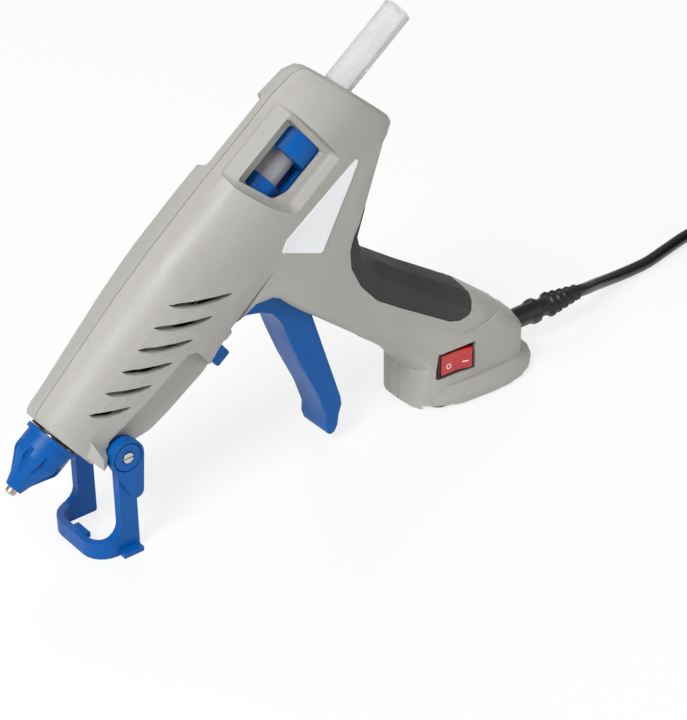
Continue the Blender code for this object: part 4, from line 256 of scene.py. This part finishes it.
# %% Edge wear: a mask that is bright where an edge is rubbed
wear_tree, wear_in, wear_out = new_group(
    "edge_wear",
    [
        ("Vector", "NodeSocketVector", None),
        ("Scale", "NodeSocketFloat", 400.0),
        ("Amount", "NodeSocketFloat", 0.3),
    ],
    [("Mask", "NodeSocketFloat")],
)
geometry = wear_tree.nodes.new("ShaderNodeNewGeometry")
edges = add(
    wear_tree, "ShaderNodeMapRange",
    {"Value": geometry.outputs["Pointiness"], "From Min": 0.52, "From Max": 0.60},
)
chips = add(
    wear_tree, "ShaderNodeTexNoise",
    {"Vector": wear_in.outputs["Vector"], "Scale": wear_in.outputs["Scale"]},
)
rubbed = maths(wear_tree, "MULTIPLY", edges.outputs["Result"], chips.outputs["Fac"])
mask = maths(wear_tree, "MULTIPLY", rubbed, wear_in.outputs["Amount"])
wear_tree.links.new(mask, wear_out.inputs["Mask"])
print("groups:", [group.name for group in bpy.data.node_groups])

# %% [markdown]
# ## Finishes
# Nearly every piece is moulded plastic, so one function makes such a finish from its colours, its
# gloss and its grain. Metal, hot melt and the lit rocker get trees of their own. What all of them do
# is written once: a colour that drifts, a polish that varies, and a bump from a pattern's height.


# %% Steps that every finish takes
def start_finish(name):
    """A new material: returns it, its tree, its shader and the object's own coordinates."""
    made = bpy.data.materials.new(name)
    made.use_nodes = True
    tree = made.node_tree
    tree.nodes.clear()
    shader = tree.nodes.new("ShaderNodeBsdfPrincipled")
    output = tree.nodes.new("ShaderNodeOutputMaterial")
    tree.links.new(shader.outputs["BSDF"], output.inputs["Surface"])
    place = tree.nodes.new("ShaderNodeTexCoord").outputs["Object"]
    return made, tree, shader, place


def drifting(tree, place, base, drift, scale):
    """A colour that drifts from base to drift and back over the piece."""
    values = {"Vector": place, "Colour": base, "Drift": drift, "Scale": scale}
    return place_group(tree, tone_tree, values).outputs["Colour"]


def polish(tree, shader, place, smooth, dull, **values):
    """Joins a varying polish to the shader's roughness, between two roughnesses."""
    values = {"Vector": place, "Smooth": smooth, "Dull": dull, **values}
    node = place_group(tree, handling_tree, values)
    tree.links.new(node.outputs["Roughness"], shader.inputs["Roughness"])


def raise_by(tree, shader, height, strength, distance):
    """Joins a bump to the shader's normal, from a pattern's height."""
    bump = add(tree, "ShaderNodeBump", {"Height": height, "Strength": strength, "Distance": distance})
    tree.links.new(bump.outputs["Normal"], shader.inputs["Normal"])


def drawn_out(tree, place, scale, detail, rotation=(0.0, 0.0, 0.0)):
    """The height of a noise that is drawn out along the axes with the smallest scale."""
    mapped = add(tree, "ShaderNodeMapping", {"Vector": place, "Rotation": rotation, "Scale": scale})
    values = {"Vector": mapped.outputs["Vector"], "Scale": 1.0, "Detail": detail}
    return add(tree, "ShaderNodeTexNoise", values).outputs["Fac"]


# %% Moulded plastics and rubbers
DRIFT_SCALE = 25.0
WEAR = 0.3
GRAIN_STRENGTH = 0.35
COAT_ROUGHNESS = 0.25


def moulded(name, base, drift, worn, smooth, dull, grain_scale, grain_depth, coat=0.0, specular=0.4):
    """A moulded finish: base and drift are its two colours, worn the colour of its rubbed edges."""
    made, tree, shader, place = start_finish(name)
    toned = drifting(tree, place, base, drift, DRIFT_SCALE)
    rubbed_edges = place_group(tree, wear_tree, {"Vector": place, "Amount": WEAR})
    mixed = add(
        tree, "ShaderNodeMix", {"Factor": rubbed_edges.outputs["Mask"], "A": toned, "B": worn},
        data_type="RGBA",
    )
    tree.links.new(mixed.outputs["Result"], shader.inputs["Base Color"])
    polish(tree, shader, place, smooth, dull)
    grain = place_group(tree, grain_tree, {"Vector": place, "Scale": grain_scale})
    raise_by(tree, shader, grain.outputs["Height"], GRAIN_STRENGTH, grain_depth)
    shader.inputs["Specular IOR Level"].default_value = specular
    shader.inputs["Coat Weight"].default_value = coat
    shader.inputs["Coat Roughness"].default_value = COAT_ROUGHNESS
    return made


housing_grey = moulded(
    "housing_grey_moulding", colour(172, 170, 164), colour(168, 166, 160), colour(200, 198, 193),
    smooth=0.40, dull=0.50, grain_scale=1700.0, grain_depth=0.04 * MM,
)
blue = moulded(
    "blue_nylon", colour(0, 90, 168), colour(0, 84, 160), colour(20, 112, 188),
    smooth=0.34, dull=0.44, grain_scale=1500.0, grain_depth=0.03 * MM, specular=0.22,
)
grip_black = moulded(
    "soft_grip_rubber", colour(62, 60, 60), colour(54, 52, 52), colour(84, 82, 82),
    smooth=0.62, dull=0.78, grain_scale=900.0, grain_depth=0.14 * MM,
)
black = moulded(
    "black_plastic", colour(32, 32, 33), colour(26, 26, 27), colour(60, 60, 62),
    smooth=0.32, dull=0.46, grain_scale=1400.0, grain_depth=0.04 * MM,
)
cord_black = moulded(
    "cord_sheath", colour(28, 28, 29), colour(22, 22, 23), colour(50, 50, 52),
    smooth=0.24, dull=0.36, grain_scale=700.0, grain_depth=0.03 * MM, coat=0.2,
)
pad_rubber = moulded(
    "foot_rubber", colour(44, 44, 45), colour(36, 36, 37), colour(64, 64, 66),
    smooth=0.66, dull=0.80, grain_scale=1100.0, grain_depth=0.10 * MM,
)
ceramic = moulded(
    "fired_ceramic", colour(226, 221, 207), colour(212, 205, 188), colour(238, 234, 224),
    smooth=0.55, dull=0.75, grain_scale=1300.0, grain_depth=0.08 * MM,
)
silicone = moulded(
    "red_silicone", colour(186, 74, 56), colour(170, 62, 46), colour(205, 104, 86),
    smooth=0.38, dull=0.52, grain_scale=900.0, grain_depth=0.04 * MM,
)
print("moulded finishes:", len(bpy.data.materials))

# %% [markdown]
# ### Metal
# Screws are zinc plated, the nozzle is turned and its chamber is cast. A turned face has rings round
# its axis, but on pieces this small a noise that is drawn out one way reads the same.

# %% Metals
METAL_DRIFT_SCALE = 120.0
METAL_POLISH_SCALE = 220.0
TOOL_MARK_DETAIL = 3.0
TOOL_MARK_STRENGTH = 0.3


def worked_metal(name, base, drift, smooth, dull, stretch, depth):
    """Bare or plated metal, with tool marks that are drawn out where stretch is smallest."""
    made, tree, shader, place = start_finish(name)
    toned = drifting(tree, place, base, drift, METAL_DRIFT_SCALE)
    tree.links.new(toned, shader.inputs["Base Color"])
    polish(tree, shader, place, smooth, dull, Scale=METAL_POLISH_SCALE)
    tool_marks = drawn_out(tree, place, stretch, TOOL_MARK_DETAIL)
    raise_by(tree, shader, tool_marks, TOOL_MARK_STRENGTH, depth)
    shader.inputs["Metallic"].default_value = 1.0
    return made


zinc = worked_metal(
    "zinc_plating", colour(214, 214, 210), colour(196, 198, 198),
    smooth=0.22, dull=0.38, stretch=(900.0, 200.0, 900.0), depth=0.03 * MM,
)
nickel = worked_metal(
    "turned_nozzle_metal", colour(196, 192, 184), colour(172, 166, 156),
    smooth=0.26, dull=0.42, stretch=(2600.0, 300.0, 2600.0), depth=0.03 * MM,
)
cast = worked_metal(
    "cast_aluminium", colour(176, 176, 174), colour(154, 154, 152),
    smooth=0.45, dull=0.62, stretch=(700.0, 700.0, 700.0), depth=0.10 * MM,
)
spring_steel = worked_metal(
    "spring_steel", colour(150, 150, 152), colour(124, 124, 128),
    smooth=0.25, dull=0.40, stretch=(500.0, 500.0, 2400.0), depth=0.02 * MM,
)
print("with the metals:", len(bpy.data.materials))

# %% [markdown]
# ### Hot melt, the lit rocker and the plate
# A glue stick is cloudy: light enters it, scatters and comes out again, so it needs both
# transmission and scattering below the surface. The rocker is clear red plastic over a small lamp.
# The plate is a thin sheet of brushed metal with a pale lacquer, and it is bare here.

# %% Cloudy hot melt
hot_melt, tree, shader, place = start_finish("hot_melt")
milk = drifting(tree, place, colour(244, 243, 244), colour(232, 231, 234), scale=80.0)
tree.links.new(milk, shader.inputs["Base Color"])
polish(tree, shader, place, smooth=0.14, dull=0.18, Scale=90.0)
ripple = drawn_out(tree, place, scale=(60.0, 420.0, 60.0), detail=2.0)
raise_by(tree, shader, ripple, strength=0.05, distance=0.02 * MM)
shader.inputs["Transmission Weight"].default_value = 0.55
shader.inputs["IOR"].default_value = 1.48
shader.inputs["Subsurface Weight"].default_value = 0.5
shader.inputs["Subsurface Radius"].default_value = (1.0, 1.0, 1.0)
shader.inputs["Subsurface Scale"].default_value = 4 * MM

# %% The lit rocker
lit_red, tree, shader, place = start_finish("lit_red")
glow = drifting(tree, place, colour(196, 22, 20), colour(160, 12, 14), scale=240.0)
tree.links.new(glow, shader.inputs["Base Color"])
tree.links.new(glow, shader.inputs["Emission Color"])
polish(tree, shader, place, smooth=0.12, dull=0.24, Scale=150.0)
grain = place_group(tree, grain_tree, {"Vector": place, "Scale": 1800.0})
raise_by(tree, shader, grain.outputs["Height"], strength=0.15, distance=0.03 * MM)
shader.inputs["Emission Strength"].default_value = 0.08
shader.inputs["Coat Weight"].default_value = 0.5
shader.inputs["Coat Roughness"].default_value = 0.08

# %% The lacquered plate, and the white of the printed marks
BRUSHED_AT = math.radians(-37)
lacquer, tree, shader, place = start_finish("brushed_plate")
sheen = drifting(tree, place, colour(240, 241, 243), colour(235, 236, 239), scale=18.0)
tree.links.new(sheen, shader.inputs["Base Color"])
hairs = drawn_out(tree, place, scale=(90.0, 90.0, 3800.0), detail=2.0, rotation=(0.0, BRUSHED_AT, 0.0))
raise_by(tree, shader, hairs, strength=0.04, distance=0.01 * MM)
polish(tree, shader, place, smooth=0.28, dull=0.32, Scale=70.0)
shader.inputs["Metallic"].default_value = 0.35
shader.inputs["Coat Weight"].default_value = 0.4
shader.inputs["Coat Roughness"].default_value = 0.12

mark_white = moulded(
    "printed_white", colour(246, 240, 240), colour(238, 228, 228), colour(250, 248, 248),
    smooth=0.35, dull=0.5, grain_scale=1500.0, grain_depth=0.02 * MM,
)
print("finishes:", len(bpy.data.materials))

# %% [markdown]
# ## The mains cord
# A cord of this kind is a round sheath 5.6 mm thick. It leaves the gun through a rubber strain
# relief, comes down to the bench under its own weight and runs out of the picture. What the picture
# doesn't show is wound up and tied beside the gun, with the plug lying on it. The route is a list of
# points, the long coil is a loop, and one smooth curve goes through them all.

# %% Points of the cord
CORD_RADIUS = 2.8 * MM
CORD_Z = 14.7 * MM
BOOT_END_X = 69.0 * MM
CORD_START_X = 13.5 * MM
SOLID_GAP = 0.3 * MM  # between the solid cord's three stretches
CORD_ROUTE = (
    (0.0745, 0.0003, 0.0145),
    (0.0830, 0.0028, 0.0119),
    (0.0913, 0.0059, 0.0094),
    (0.1060, 0.0098, 0.0056),
    (0.1207, 0.0120, 0.0036),
    (0.1318, 0.0132, 0.0031),
    (0.1455, 0.0161, 0.0030),
    (0.1637, 0.0194, 0.0032),
    (0.1780, 0.0189, 0.0036),
    (0.1860, 0.0173, 0.0039),
    (0.1910, 0.0165, 0.0040),
)
TAIL_ROUTE = (
    (0.2145, 0.0165, 0.0232),
    (0.2210, 0.0164, 0.0250),
    (0.2280, 0.0155, 0.0284),
    (0.2345, 0.0129, 0.0299),
    (0.2410, 0.0067, 0.0301),
    (0.2450, -0.0040, 0.0301),
    (0.2436, -0.0155, 0.0301),
    (0.2380, -0.0237, 0.0305),
    (0.2305, -0.0286, 0.0316),
    (0.2235, -0.0300, 0.0328),
    (0.2180, -0.0300, 0.03315),
)
CORD_END = (0.2164, -0.0300, 0.03315)
print("points by hand:", len(CORD_ROUTE) + len(TAIL_ROUTE))

# %% The long coil
COIL_X, COIL_Y, COIL_Z = 0.2030, -0.0125, 0.0040
COIL_RUN = 0.0380  # straight run between the coil's round ends
RUN_SHARE = 4  # how fast a turn crosses from one round end to the other
COIL_INNER = 0.0178  # radius of the innermost turn's round ends
COIL_STEP = 0.0064  # from one turn to the next, and from layer to layer
COIL_LAYERS = 4
COIL_TURNS = 7
COIL_POINTS = 24  # in each turn
CLIMB_TURNS = 0.5  # that a climb to the next layer takes


def coil_point(turn):
    """A point of the coil, so many turns from its start, spiralling in and out in layers."""
    each = COIL_TURNS / COIL_LAYERS
    layer = min(int(turn / each), COIL_LAYERS - 1)
    share = turn / each - layer
    inward = share if layer % 2 == 0 else 1 - share
    radius = COIL_INNER + (1 - inward) * each * COIL_STEP
    height = 0.0
    for change in range(1, COIL_LAYERS):
        climbed = (turn - change * each) / CLIMB_TURNS + 0.5
        height += min(max(climbed, 0.0), 1.0) * COIL_STEP
    angle = math.pi / 2 - math.tau * turn
    end = COIL_RUN / 2 * min(max(RUN_SHARE * math.cos(angle), -1.0), 1.0)
    across = radius * math.cos(angle)
    along = radius * math.sin(angle)
    return Vector((COIL_X + end + across, COIL_Y + along, COIL_Z + height))


steps = COIL_TURNS * COIL_POINTS
coil = [coil_point(COIL_TURNS * i / steps) for i in range(steps + 1)]
straight_end = Vector((2 * CORD_RADIUS, 0.0, 0.0))
coil = [coil[0] - straight_end, *coil, coil[-1] + straight_end]
print("points of the coil:", len(coil))

# %% One smooth route
SAMPLES_BETWEEN = 20  # between two given points, before the curve is divided evenly


def curve_through(points, step):
    """Points a step apart along a smooth curve through the given points, ends straight."""
    knots = [Vector(point) for point in points]
    knots = [2 * knots[0] - knots[1]] + knots + [2 * knots[-1] - knots[-2]]
    smooth = []
    for before, start, end, after in zip(knots, knots[1:], knots[2:], knots[3:]):
        slope = (end - before) / 2
        last_slope = (after - start) / 2
        pull = 3 * (end - start) - 2 * slope - last_slope
        bend = 2 * start - 2 * end + slope + last_slope
        for i in range(SAMPLES_BETWEEN):
            t = i / SAMPLES_BETWEEN
            smooth.append(start + slope * t + pull * t**2 + bend * t**3)
    smooth.append(knots[-2])
    walked = np.cumsum([0.0] + [(b - a).length for a, b in zip(smooth, smooth[1:])])
    wanted = np.linspace(0.0, walked[-1], max(2, round(walked[-1] / step)) + 1)
    axes = [np.interp(wanted, walked, [place[i] for place in smooth]) for i in range(3)]
    return [Vector(point) for point in zip(*axes)]


boot_end = (BOOT_END_X, 0.0, CORD_Z)
gap = Vector((SOLID_GAP, 0.0, 0.0))
out_of_boot = curve_through([boot_end, *CORD_ROUTE, coil[0] - gap], 2 * CORD_RADIUS)
to_plug = curve_through([coil[-1] + gap, *TAIL_ROUTE, CORD_END], 2 * CORD_RADIUS)
whole_route = [*out_of_boot, *coil, *to_plug]

# %% The cord's curves
SHEATH_ROUNDNESS = 5  # gives the tube's section 14 corners


def sheath(name, route, finish):
    """A round tube along a route."""
    line = bpy.data.curves.new(name, "CURVE")
    line.dimensions = "3D"
    line.bevel_depth = CORD_RADIUS
    line.bevel_resolution = SHEATH_ROUNDNESS
    line.use_fill_caps = True
    spline = line.splines.new("POLY")
    spline.points.add(len(route) - 1)
    for point, place in zip(spline.points, route):
        point.co = (*place, 1.0)
    line.materials.append(finish)
    piece = bpy.data.objects.new(name, line)
    scene.collection.objects.link(piece)
    return piece


mains_cord = sheath("mains_cord", whole_route, cord_black)
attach(mains_cord, "housing")
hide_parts("cord", "cord_coil", "cord_tail")
inside_route = [(CORD_START_X, 0.0, CORD_Z), (BOOT_END_X - SOLID_GAP, 0.0, CORD_Z)]
cord_inside = sheath("cord_inside", inside_route, cord_black)
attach(cord_inside, "housing")
print("cord's pieces:", mains_cord.name, cord_inside.name)

# %% [markdown]
# ## Rounded edges
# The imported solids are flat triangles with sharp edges. A real moulding has a small round on every
# edge, which catches the light. Each visible solid is copied, its loose triangles are joined, and a
# bevel rounds the edges. The copy stands for the solid and moves with the same body.

# %% A dressed copy of a solid
JOINED_WITHIN = 0.002 * MM
FLAT_WITHIN = math.radians(0.4)
SHARP_FROM = math.radians(30)
ROUNDING_SEGMENTS = 2


def dressed(node, finish, edge):
    """A joined copy of a solid with rounded edges and smooth faces, in the solid's place."""
    source = frame["nodes"][node]
    shape = bmesh.new()
    shape.from_mesh(source.data)
    bmesh.ops.remove_doubles(shape, verts=shape.verts, dist=JOINED_WITHIN)
    bmesh.ops.dissolve_limit(shape, angle_limit=FLAT_WITHIN, verts=shape.verts, edges=shape.edges)
    mesh = bpy.data.meshes.new(node + "_dressed")
    shape.to_mesh(mesh)
    shape.free()
    mesh.shade_smooth()
    mesh.set_sharp_from_angle(angle=SHARP_FROM)
    mesh.materials.append(finish)
    piece = bpy.data.objects.new(node + "_dressed", mesh)
    scene.collection.objects.link(piece)
    rounding = piece.modifiers.new("rounding", "BEVEL")
    rounding.width = edge
    rounding.segments = ROUNDING_SEGMENTS
    rounding.limit_method = "ANGLE"
    rounding.angle_limit = SHARP_FROM
    rounding.miter_outer = "MITER_ARC"
    evened = piece.modifiers.new("evened", "WEIGHTED_NORMAL")
    evened.keep_sharp = True
    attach(piece, source["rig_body"])
    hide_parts(node)
    return piece


# %% Dress the shells and the moving pieces
dressed("housing_left", housing_grey, edge=0.35 * MM)
dressed("housing_right", housing_grey, edge=0.35 * MM)
dressed("soft_grip", grip_black, edge=0.4 * MM)
dressed("nozzle_shield", blue, edge=0.25 * MM)
dressed("trigger", blue, edge=1.4 * MM)
dressed("stand", blue, edge=0.5 * MM)
for node in ("feed_carriage", "rear_guide", "stand_bush_left", "stand_bush_right", "stand_catch"):
    dressed(node, blue, edge=0.3 * MM)
for node in ("switch_body", "cord_boot", "cord_tie", "plug_body"):
    dressed(node, black, edge=0.2 * MM)
dressed("switch_rocker", lit_red, edge=0.25 * MM)
dressed("glue_stick", hot_melt, edge=0.3 * MM)
dressed("nozzle", nickel, edge=0.1 * MM)
for node in ("stand_screw_left", "stand_screw_right", *(f"housing_screw_{i}" for i in range(1, 7))):
    dressed(node, zinc, edge=0.1 * MM)
for node in ("plug_pin_a", "plug_pin_b"):
    dressed(node, nickel, edge=0.15 * MM)

# %% [markdown]
# ### The pad under the foot
# A thin rubber pad keeps the gun from sliding. Its solid reaches nearly to the rim of the foot, where
# the camera would see it as a dark line. The copy is drawn in towards its own middle, so that hardly
# any of it shows under the foot.

# %% The foot pad, and the ring behind the shield
PAD_SHARE = 0.86  # of the solid pad's length and width
pad = dressed("foot_pad", pad_rubber, edge=0.3 * MM)
pad_low, pad_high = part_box("foot_pad")
pad_middle = (pad_low + pad_high) / 2
narrower = Matrix.Diagonal((PAD_SHARE, PAD_SHARE, 1.0, 1.0))
drawn_in = Matrix.Translation(pad_middle) @ narrower
pad.data.transform(drawn_in @ Matrix.Translation(-pad_middle))
dressed("front_ring", black, edge=0.2 * MM)

# %% [markdown]
# ## What stays inside
# The chamber, its heaters, the springs and the leads sit inside the housing, and hardly any of them
# shows. Their solids have the right shape already, so each keeps its own mesh and only takes a finish
# in the material slots of its object.

# %% Finishes of the pieces that stay inside
INSIDE = {
    "melt_chamber": cast, "heater_left": ceramic, "heater_right": ceramic, "heater_spring": spring_steel,
    "chamber_mount_front": ceramic, "chamber_mount_rear": ceramic, "thermal_fuse": ceramic,
    "inlet_sleeve": silicone, "trigger_pin": zinc, "trigger_spring": spring_steel,
    "catch_spring": spring_steel, "cord_clamp": black, "clamp_screw_lower": zinc, "clamp_screw_upper": zinc,
    "lead_switched": cord_black, "lead_neutral": cord_black, "lead_live": cord_black,
}
for node, finish in INSIDE.items():
    for material_slot in frame["nodes"][node].material_slots:
        material_slot.link = "OBJECT"
        material_slot.material = finish
print("inside:", len(INSIDE))

# %% [markdown]
# ## Small things on the surface
# A plate and printed marks lie on curved or sloping faces. A ray shot at the solid tells where the
# face is, so a flat shape can be laid on it point by point, then given its thickness.

# %% Laying a flat shape on a solid
INTO_THE_GUN = Vector((0.0, 1.0, 0.0))  # from its left side
SHEET_SHARP_FROM = math.radians(50)


def surface_of(node):
    """A tree of a solid's faces, which answers where a ray meets them."""
    data = frame["nodes"][node].data
    points = [vert.co.copy() for vert in data.vertices]
    return BVHTree.FromPolygons(points, [list(face.vertices) for face in data.polygons])


def laid_on(name, shape, surface, lift, thickness, finish, body, round_edge=0.0):
    """A thin sheet from an upright flat shape, laid on the side of a solid that faces -Y."""
    for vert in shape.verts:
        place, _, _, _ = surface.ray_cast(vert.co, INTO_THE_GUN)
        if place is not None:
            vert.co.y = place.y - lift
    bmesh.ops.recalc_face_normals(shape, faces=shape.faces)
    if sum(face.normal.y for face in shape.faces) > 0:
        bmesh.ops.reverse_faces(shape, faces=shape.faces)
    mesh = bpy.data.meshes.new(name)
    shape.to_mesh(mesh)
    shape.free()
    mesh.materials.append(finish)
    piece = bpy.data.objects.new(name, mesh)
    scene.collection.objects.link(piece)
    wall = piece.modifiers.new("wall", "SOLIDIFY")
    wall.thickness = thickness
    wall.offset = -1.0
    if round_edge:
        mesh.shade_smooth()
        rounding = piece.modifiers.new("rounding", "BEVEL")
        rounding.width = round_edge
        rounding.segments = ROUNDING_SEGMENTS
        rounding.limit_method = "ANGLE"
        rounding.angle_limit = SHEET_SHARP_FROM
    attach(piece, body)
    print(name, "faces:", len(mesh.polygons))


# %% [markdown]
# ### The plate
# The plate lies between the window and the neck, and narrows towards the rear end. Its outline is
# four corners, each rounded with its own radius by a short curve. The face is cut finely before it
# is laid down, so that it follows the housing's slope.

# %% The bare plate
PLATE_CORNERS = ((-0.0607, 0.1336), (-0.0805, 0.0974), (-0.0996, 0.1041), (-0.0975, 0.1088))
PLATE_RADII = (1.6 * MM, 1.8 * MM, 1.2 * MM, 3.0 * MM)
CORNER_STEPS = 8
PLATE_FROM_Y = -0.2  # where the rays at the housing start
PLATE_CUTS = 5
PLATE_LIFT, PLATE_DEPTH = 0.35 * MM, 0.5 * MM
PLATE_EDGE = 0.12 * MM


def rounded_outline(corners, radii):
    """A polygon whose corners are rounded, each with its own radius."""
    outline = []
    count = len(corners)
    for i, (corner, radius) in enumerate(zip(corners, radii)):
        here = Vector(corner)
        before = (Vector(corners[i - 1]) - here).normalized()
        after = (Vector(corners[(i + 1) % count]) - here).normalized()
        half = math.acos(max(-1.0, min(1.0, before.dot(after)))) / 2
        reach = radius / math.tan(half)
        start, end = here + before * reach, here + after * reach
        for step in range(CORNER_STEPS + 1):
            t = step / CORNER_STEPS
            outline.append(tuple((1 - t) ** 2 * start + 2 * t * (1 - t) * here + t**2 * end))
    return outline


plate = bmesh.new()
for x, z in rounded_outline(PLATE_CORNERS, PLATE_RADII):
    plate.verts.new((x, PLATE_FROM_Y, z))
plate.faces.new(plate.verts)
bmesh.ops.triangulate(plate, faces=plate.faces)
bmesh.ops.subdivide_edges(plate, edges=plate.edges, cuts=PLATE_CUTS, use_grid_fill=True)
laid_on(
    "bare_plate", plate, surface_of("housing_left"), PLATE_LIFT, PLATE_DEPTH, lacquer, "housing",
    round_edge=PLATE_EDGE,
)

# %% [markdown]
# ### The marks of the switch
# The rocker carries a ring for off and a bar for on, printed in white. The ring is the edge of a
# circle, drawn inwards and filled between. The bar is a grid that is scaled to a strip.

# %% A ring for off and a bar for on
MARK_LIFT, MARK_DEPTH = 0.08 * MM, 0.2 * MM
OFF_X, ON_X, MARK_Z = -14.4 * MM, -6.3 * MM, 19.6 * MM
MARKS_FROM_Y = -0.1  # where the rays at the rocker start
RING_RADIUS = 1.25 * MM
RING_INNER_SHARE = 0.7
RING_SEGMENTS = 32
BAR_LENGTH, BAR_WIDTH = 2.7 * MM, 0.5 * MM

ring = bmesh.new()
bmesh.ops.create_circle(ring, cap_ends=False, segments=RING_SEGMENTS, radius=RING_RADIUS)
grown = bmesh.ops.extrude_edge_only(ring, edges=ring.edges[:])["geom"]
inner = [item for item in grown if isinstance(item, bmesh.types.BMVert)]
bmesh.ops.scale(ring, vec=(RING_INNER_SHARE, RING_INNER_SHARE, 1.0), verts=inner)
bar = bmesh.new()
bmesh.ops.create_grid(bar, x_segments=4, y_segments=1, size=0.5)
bmesh.ops.scale(bar, vec=(BAR_LENGTH, BAR_WIDTH, 1.0), verts=bar.verts)

upright = Matrix.Rotation(math.pi / 2, 3, "X")
rocker_face = surface_of("switch_rocker")
for name, shape, x in (("mark_off", ring, OFF_X), ("mark_on", bar, ON_X)):
    bmesh.ops.rotate(shape, cent=(0, 0, 0), matrix=upright, verts=shape.verts)
    bmesh.ops.translate(shape, vec=(x, MARKS_FROM_Y, MARK_Z), verts=shape.verts)
    laid_on(name, shape, rocker_face, MARK_LIFT, MARK_DEPTH, mark_white, "rocker")

# %% [markdown]
# ## What the cord is
# A mains cord has a fixed length, and it carries its tie and its plug with it.

# %% [markdown]
# ## Floor and light
# The gun stands on a plain white bench under large soft lights. The floor takes the gun's shadow.
# The camera, and rays that a shiny or clear piece sends on, see most of it as plain white, so that a
# soft shadow stays under the gun and the rest runs into the background.

# %% Floor
PLAIN_WHITE = (1.0, 1.0, 1.0, 1.0)
FLOOR_TONE = (0.90, 0.90, 0.90, 1.0)
FLOOR_SIZE = 6.0
FLOOR_GAP = 0.02 * MM
SEEN_SHARE = 0.78  # of the floor's look that is plain white to the camera
floor_shape = bmesh.new()
bmesh.ops.create_grid(floor_shape, x_segments=1, y_segments=1, size=FLOOR_SIZE / 2)
floor_mesh = bpy.data.meshes.new("floor")
floor_shape.to_mesh(floor_mesh)
floor_shape.free()
floor = bpy.data.objects.new("floor", floor_mesh)
floor.location.z = min(0.0, solid_box[0][2]) - FLOOR_GAP
scene.collection.objects.link(floor)
floor_finish = bpy.data.materials.new("bench")
floor_finish.use_nodes = True
tree = floor_finish.node_tree
tree.nodes.clear()
matt = add(tree, "ShaderNodeBsdfDiffuse", {"Color": FLOOR_TONE})
white = add(tree, "ShaderNodeEmission", {"Color": PLAIN_WHITE, "Strength": 1.0})
path = tree.nodes.new("ShaderNodeLightPath")
seen = maths(tree, "MAXIMUM", path.outputs["Is Camera Ray"], path.outputs["Is Glossy Ray"])
seen = maths(tree, "MAXIMUM", seen, path.outputs["Is Transmission Ray"])
share = maths(tree, "MULTIPLY", seen, SEEN_SHARE)
mixed = add(tree, "ShaderNodeMixShader", {0: share, 1: matt.outputs[0], 2: white.outputs[0]})
output = tree.nodes.new("ShaderNodeOutputMaterial")
tree.links.new(mixed.outputs[0], output.inputs["Surface"])
floor_mesh.materials.append(floor_finish)
print("floor at, m:", round(floor.location.z, 5))

# %% World
WORLD_LEVEL = 0.30  # the light that the gun gets, while the camera sees plain white
world = bpy.data.worlds.new("studio")
world.use_nodes = True
scene.world = world
tree = world.node_tree
tree.nodes.clear()
room = add(tree, "ShaderNodeBackground", {"Color": PLAIN_WHITE, "Strength": WORLD_LEVEL})
seen_room = add(tree, "ShaderNodeBackground", {"Color": PLAIN_WHITE, "Strength": 1.0})
to_camera = tree.nodes.new("ShaderNodeLightPath").outputs["Is Camera Ray"]
mixed = add(tree, "ShaderNodeMixShader", {0: to_camera, 1: room.outputs[0], 2: seen_room.outputs[0]})
output = tree.nodes.new("ShaderNodeOutputWorld")
tree.links.new(mixed.outputs[0], output.inputs["Surface"])

# %% [markdown]
# ### Lamps
# The strongest lamp stands high before the nozzle, and gives the form its light and its shadow. A
# larger, weaker one from the front right lifts the dark faces, and a third from behind draws the
# upper edges.

# %% Lamps
GUN_MIDDLE = Vector((-0.08, 0.0, 0.08))


def soft_light(name, place, size, power):
    """A square lamp that looks at the gun."""
    data = bpy.data.lights.new(name, "AREA")
    data.shape = "SQUARE"
    data.size = size
    data.energy = power
    lamp = bpy.data.objects.new(name, data)
    lamp.location = place
    lamp.rotation_euler = (GUN_MIDDLE - Vector(place)).to_track_quat("-Z", "Y").to_euler()
    scene.collection.objects.link(lamp)


soft_light("key", (-1.1, -0.4, 1.25), size=0.6, power=22.0)
soft_light("fill", (0.7, -1.5, 0.7), size=1.2, power=4.0)
soft_light("rim", (0.4, 1.1, 1.3), size=0.8, power=7.0)
print("lamps:", len(bpy.data.lights))

# %% [markdown]
# ## The size, and the end
# The dressed gun should be no larger than its solids. The box of the solids is written down.

# %% The look of the picture, and the size of the solids
scene.view_settings.view_transform = "Standard"
print("solids", [[round(x, 4) for x in corner] for corner in solid_box])
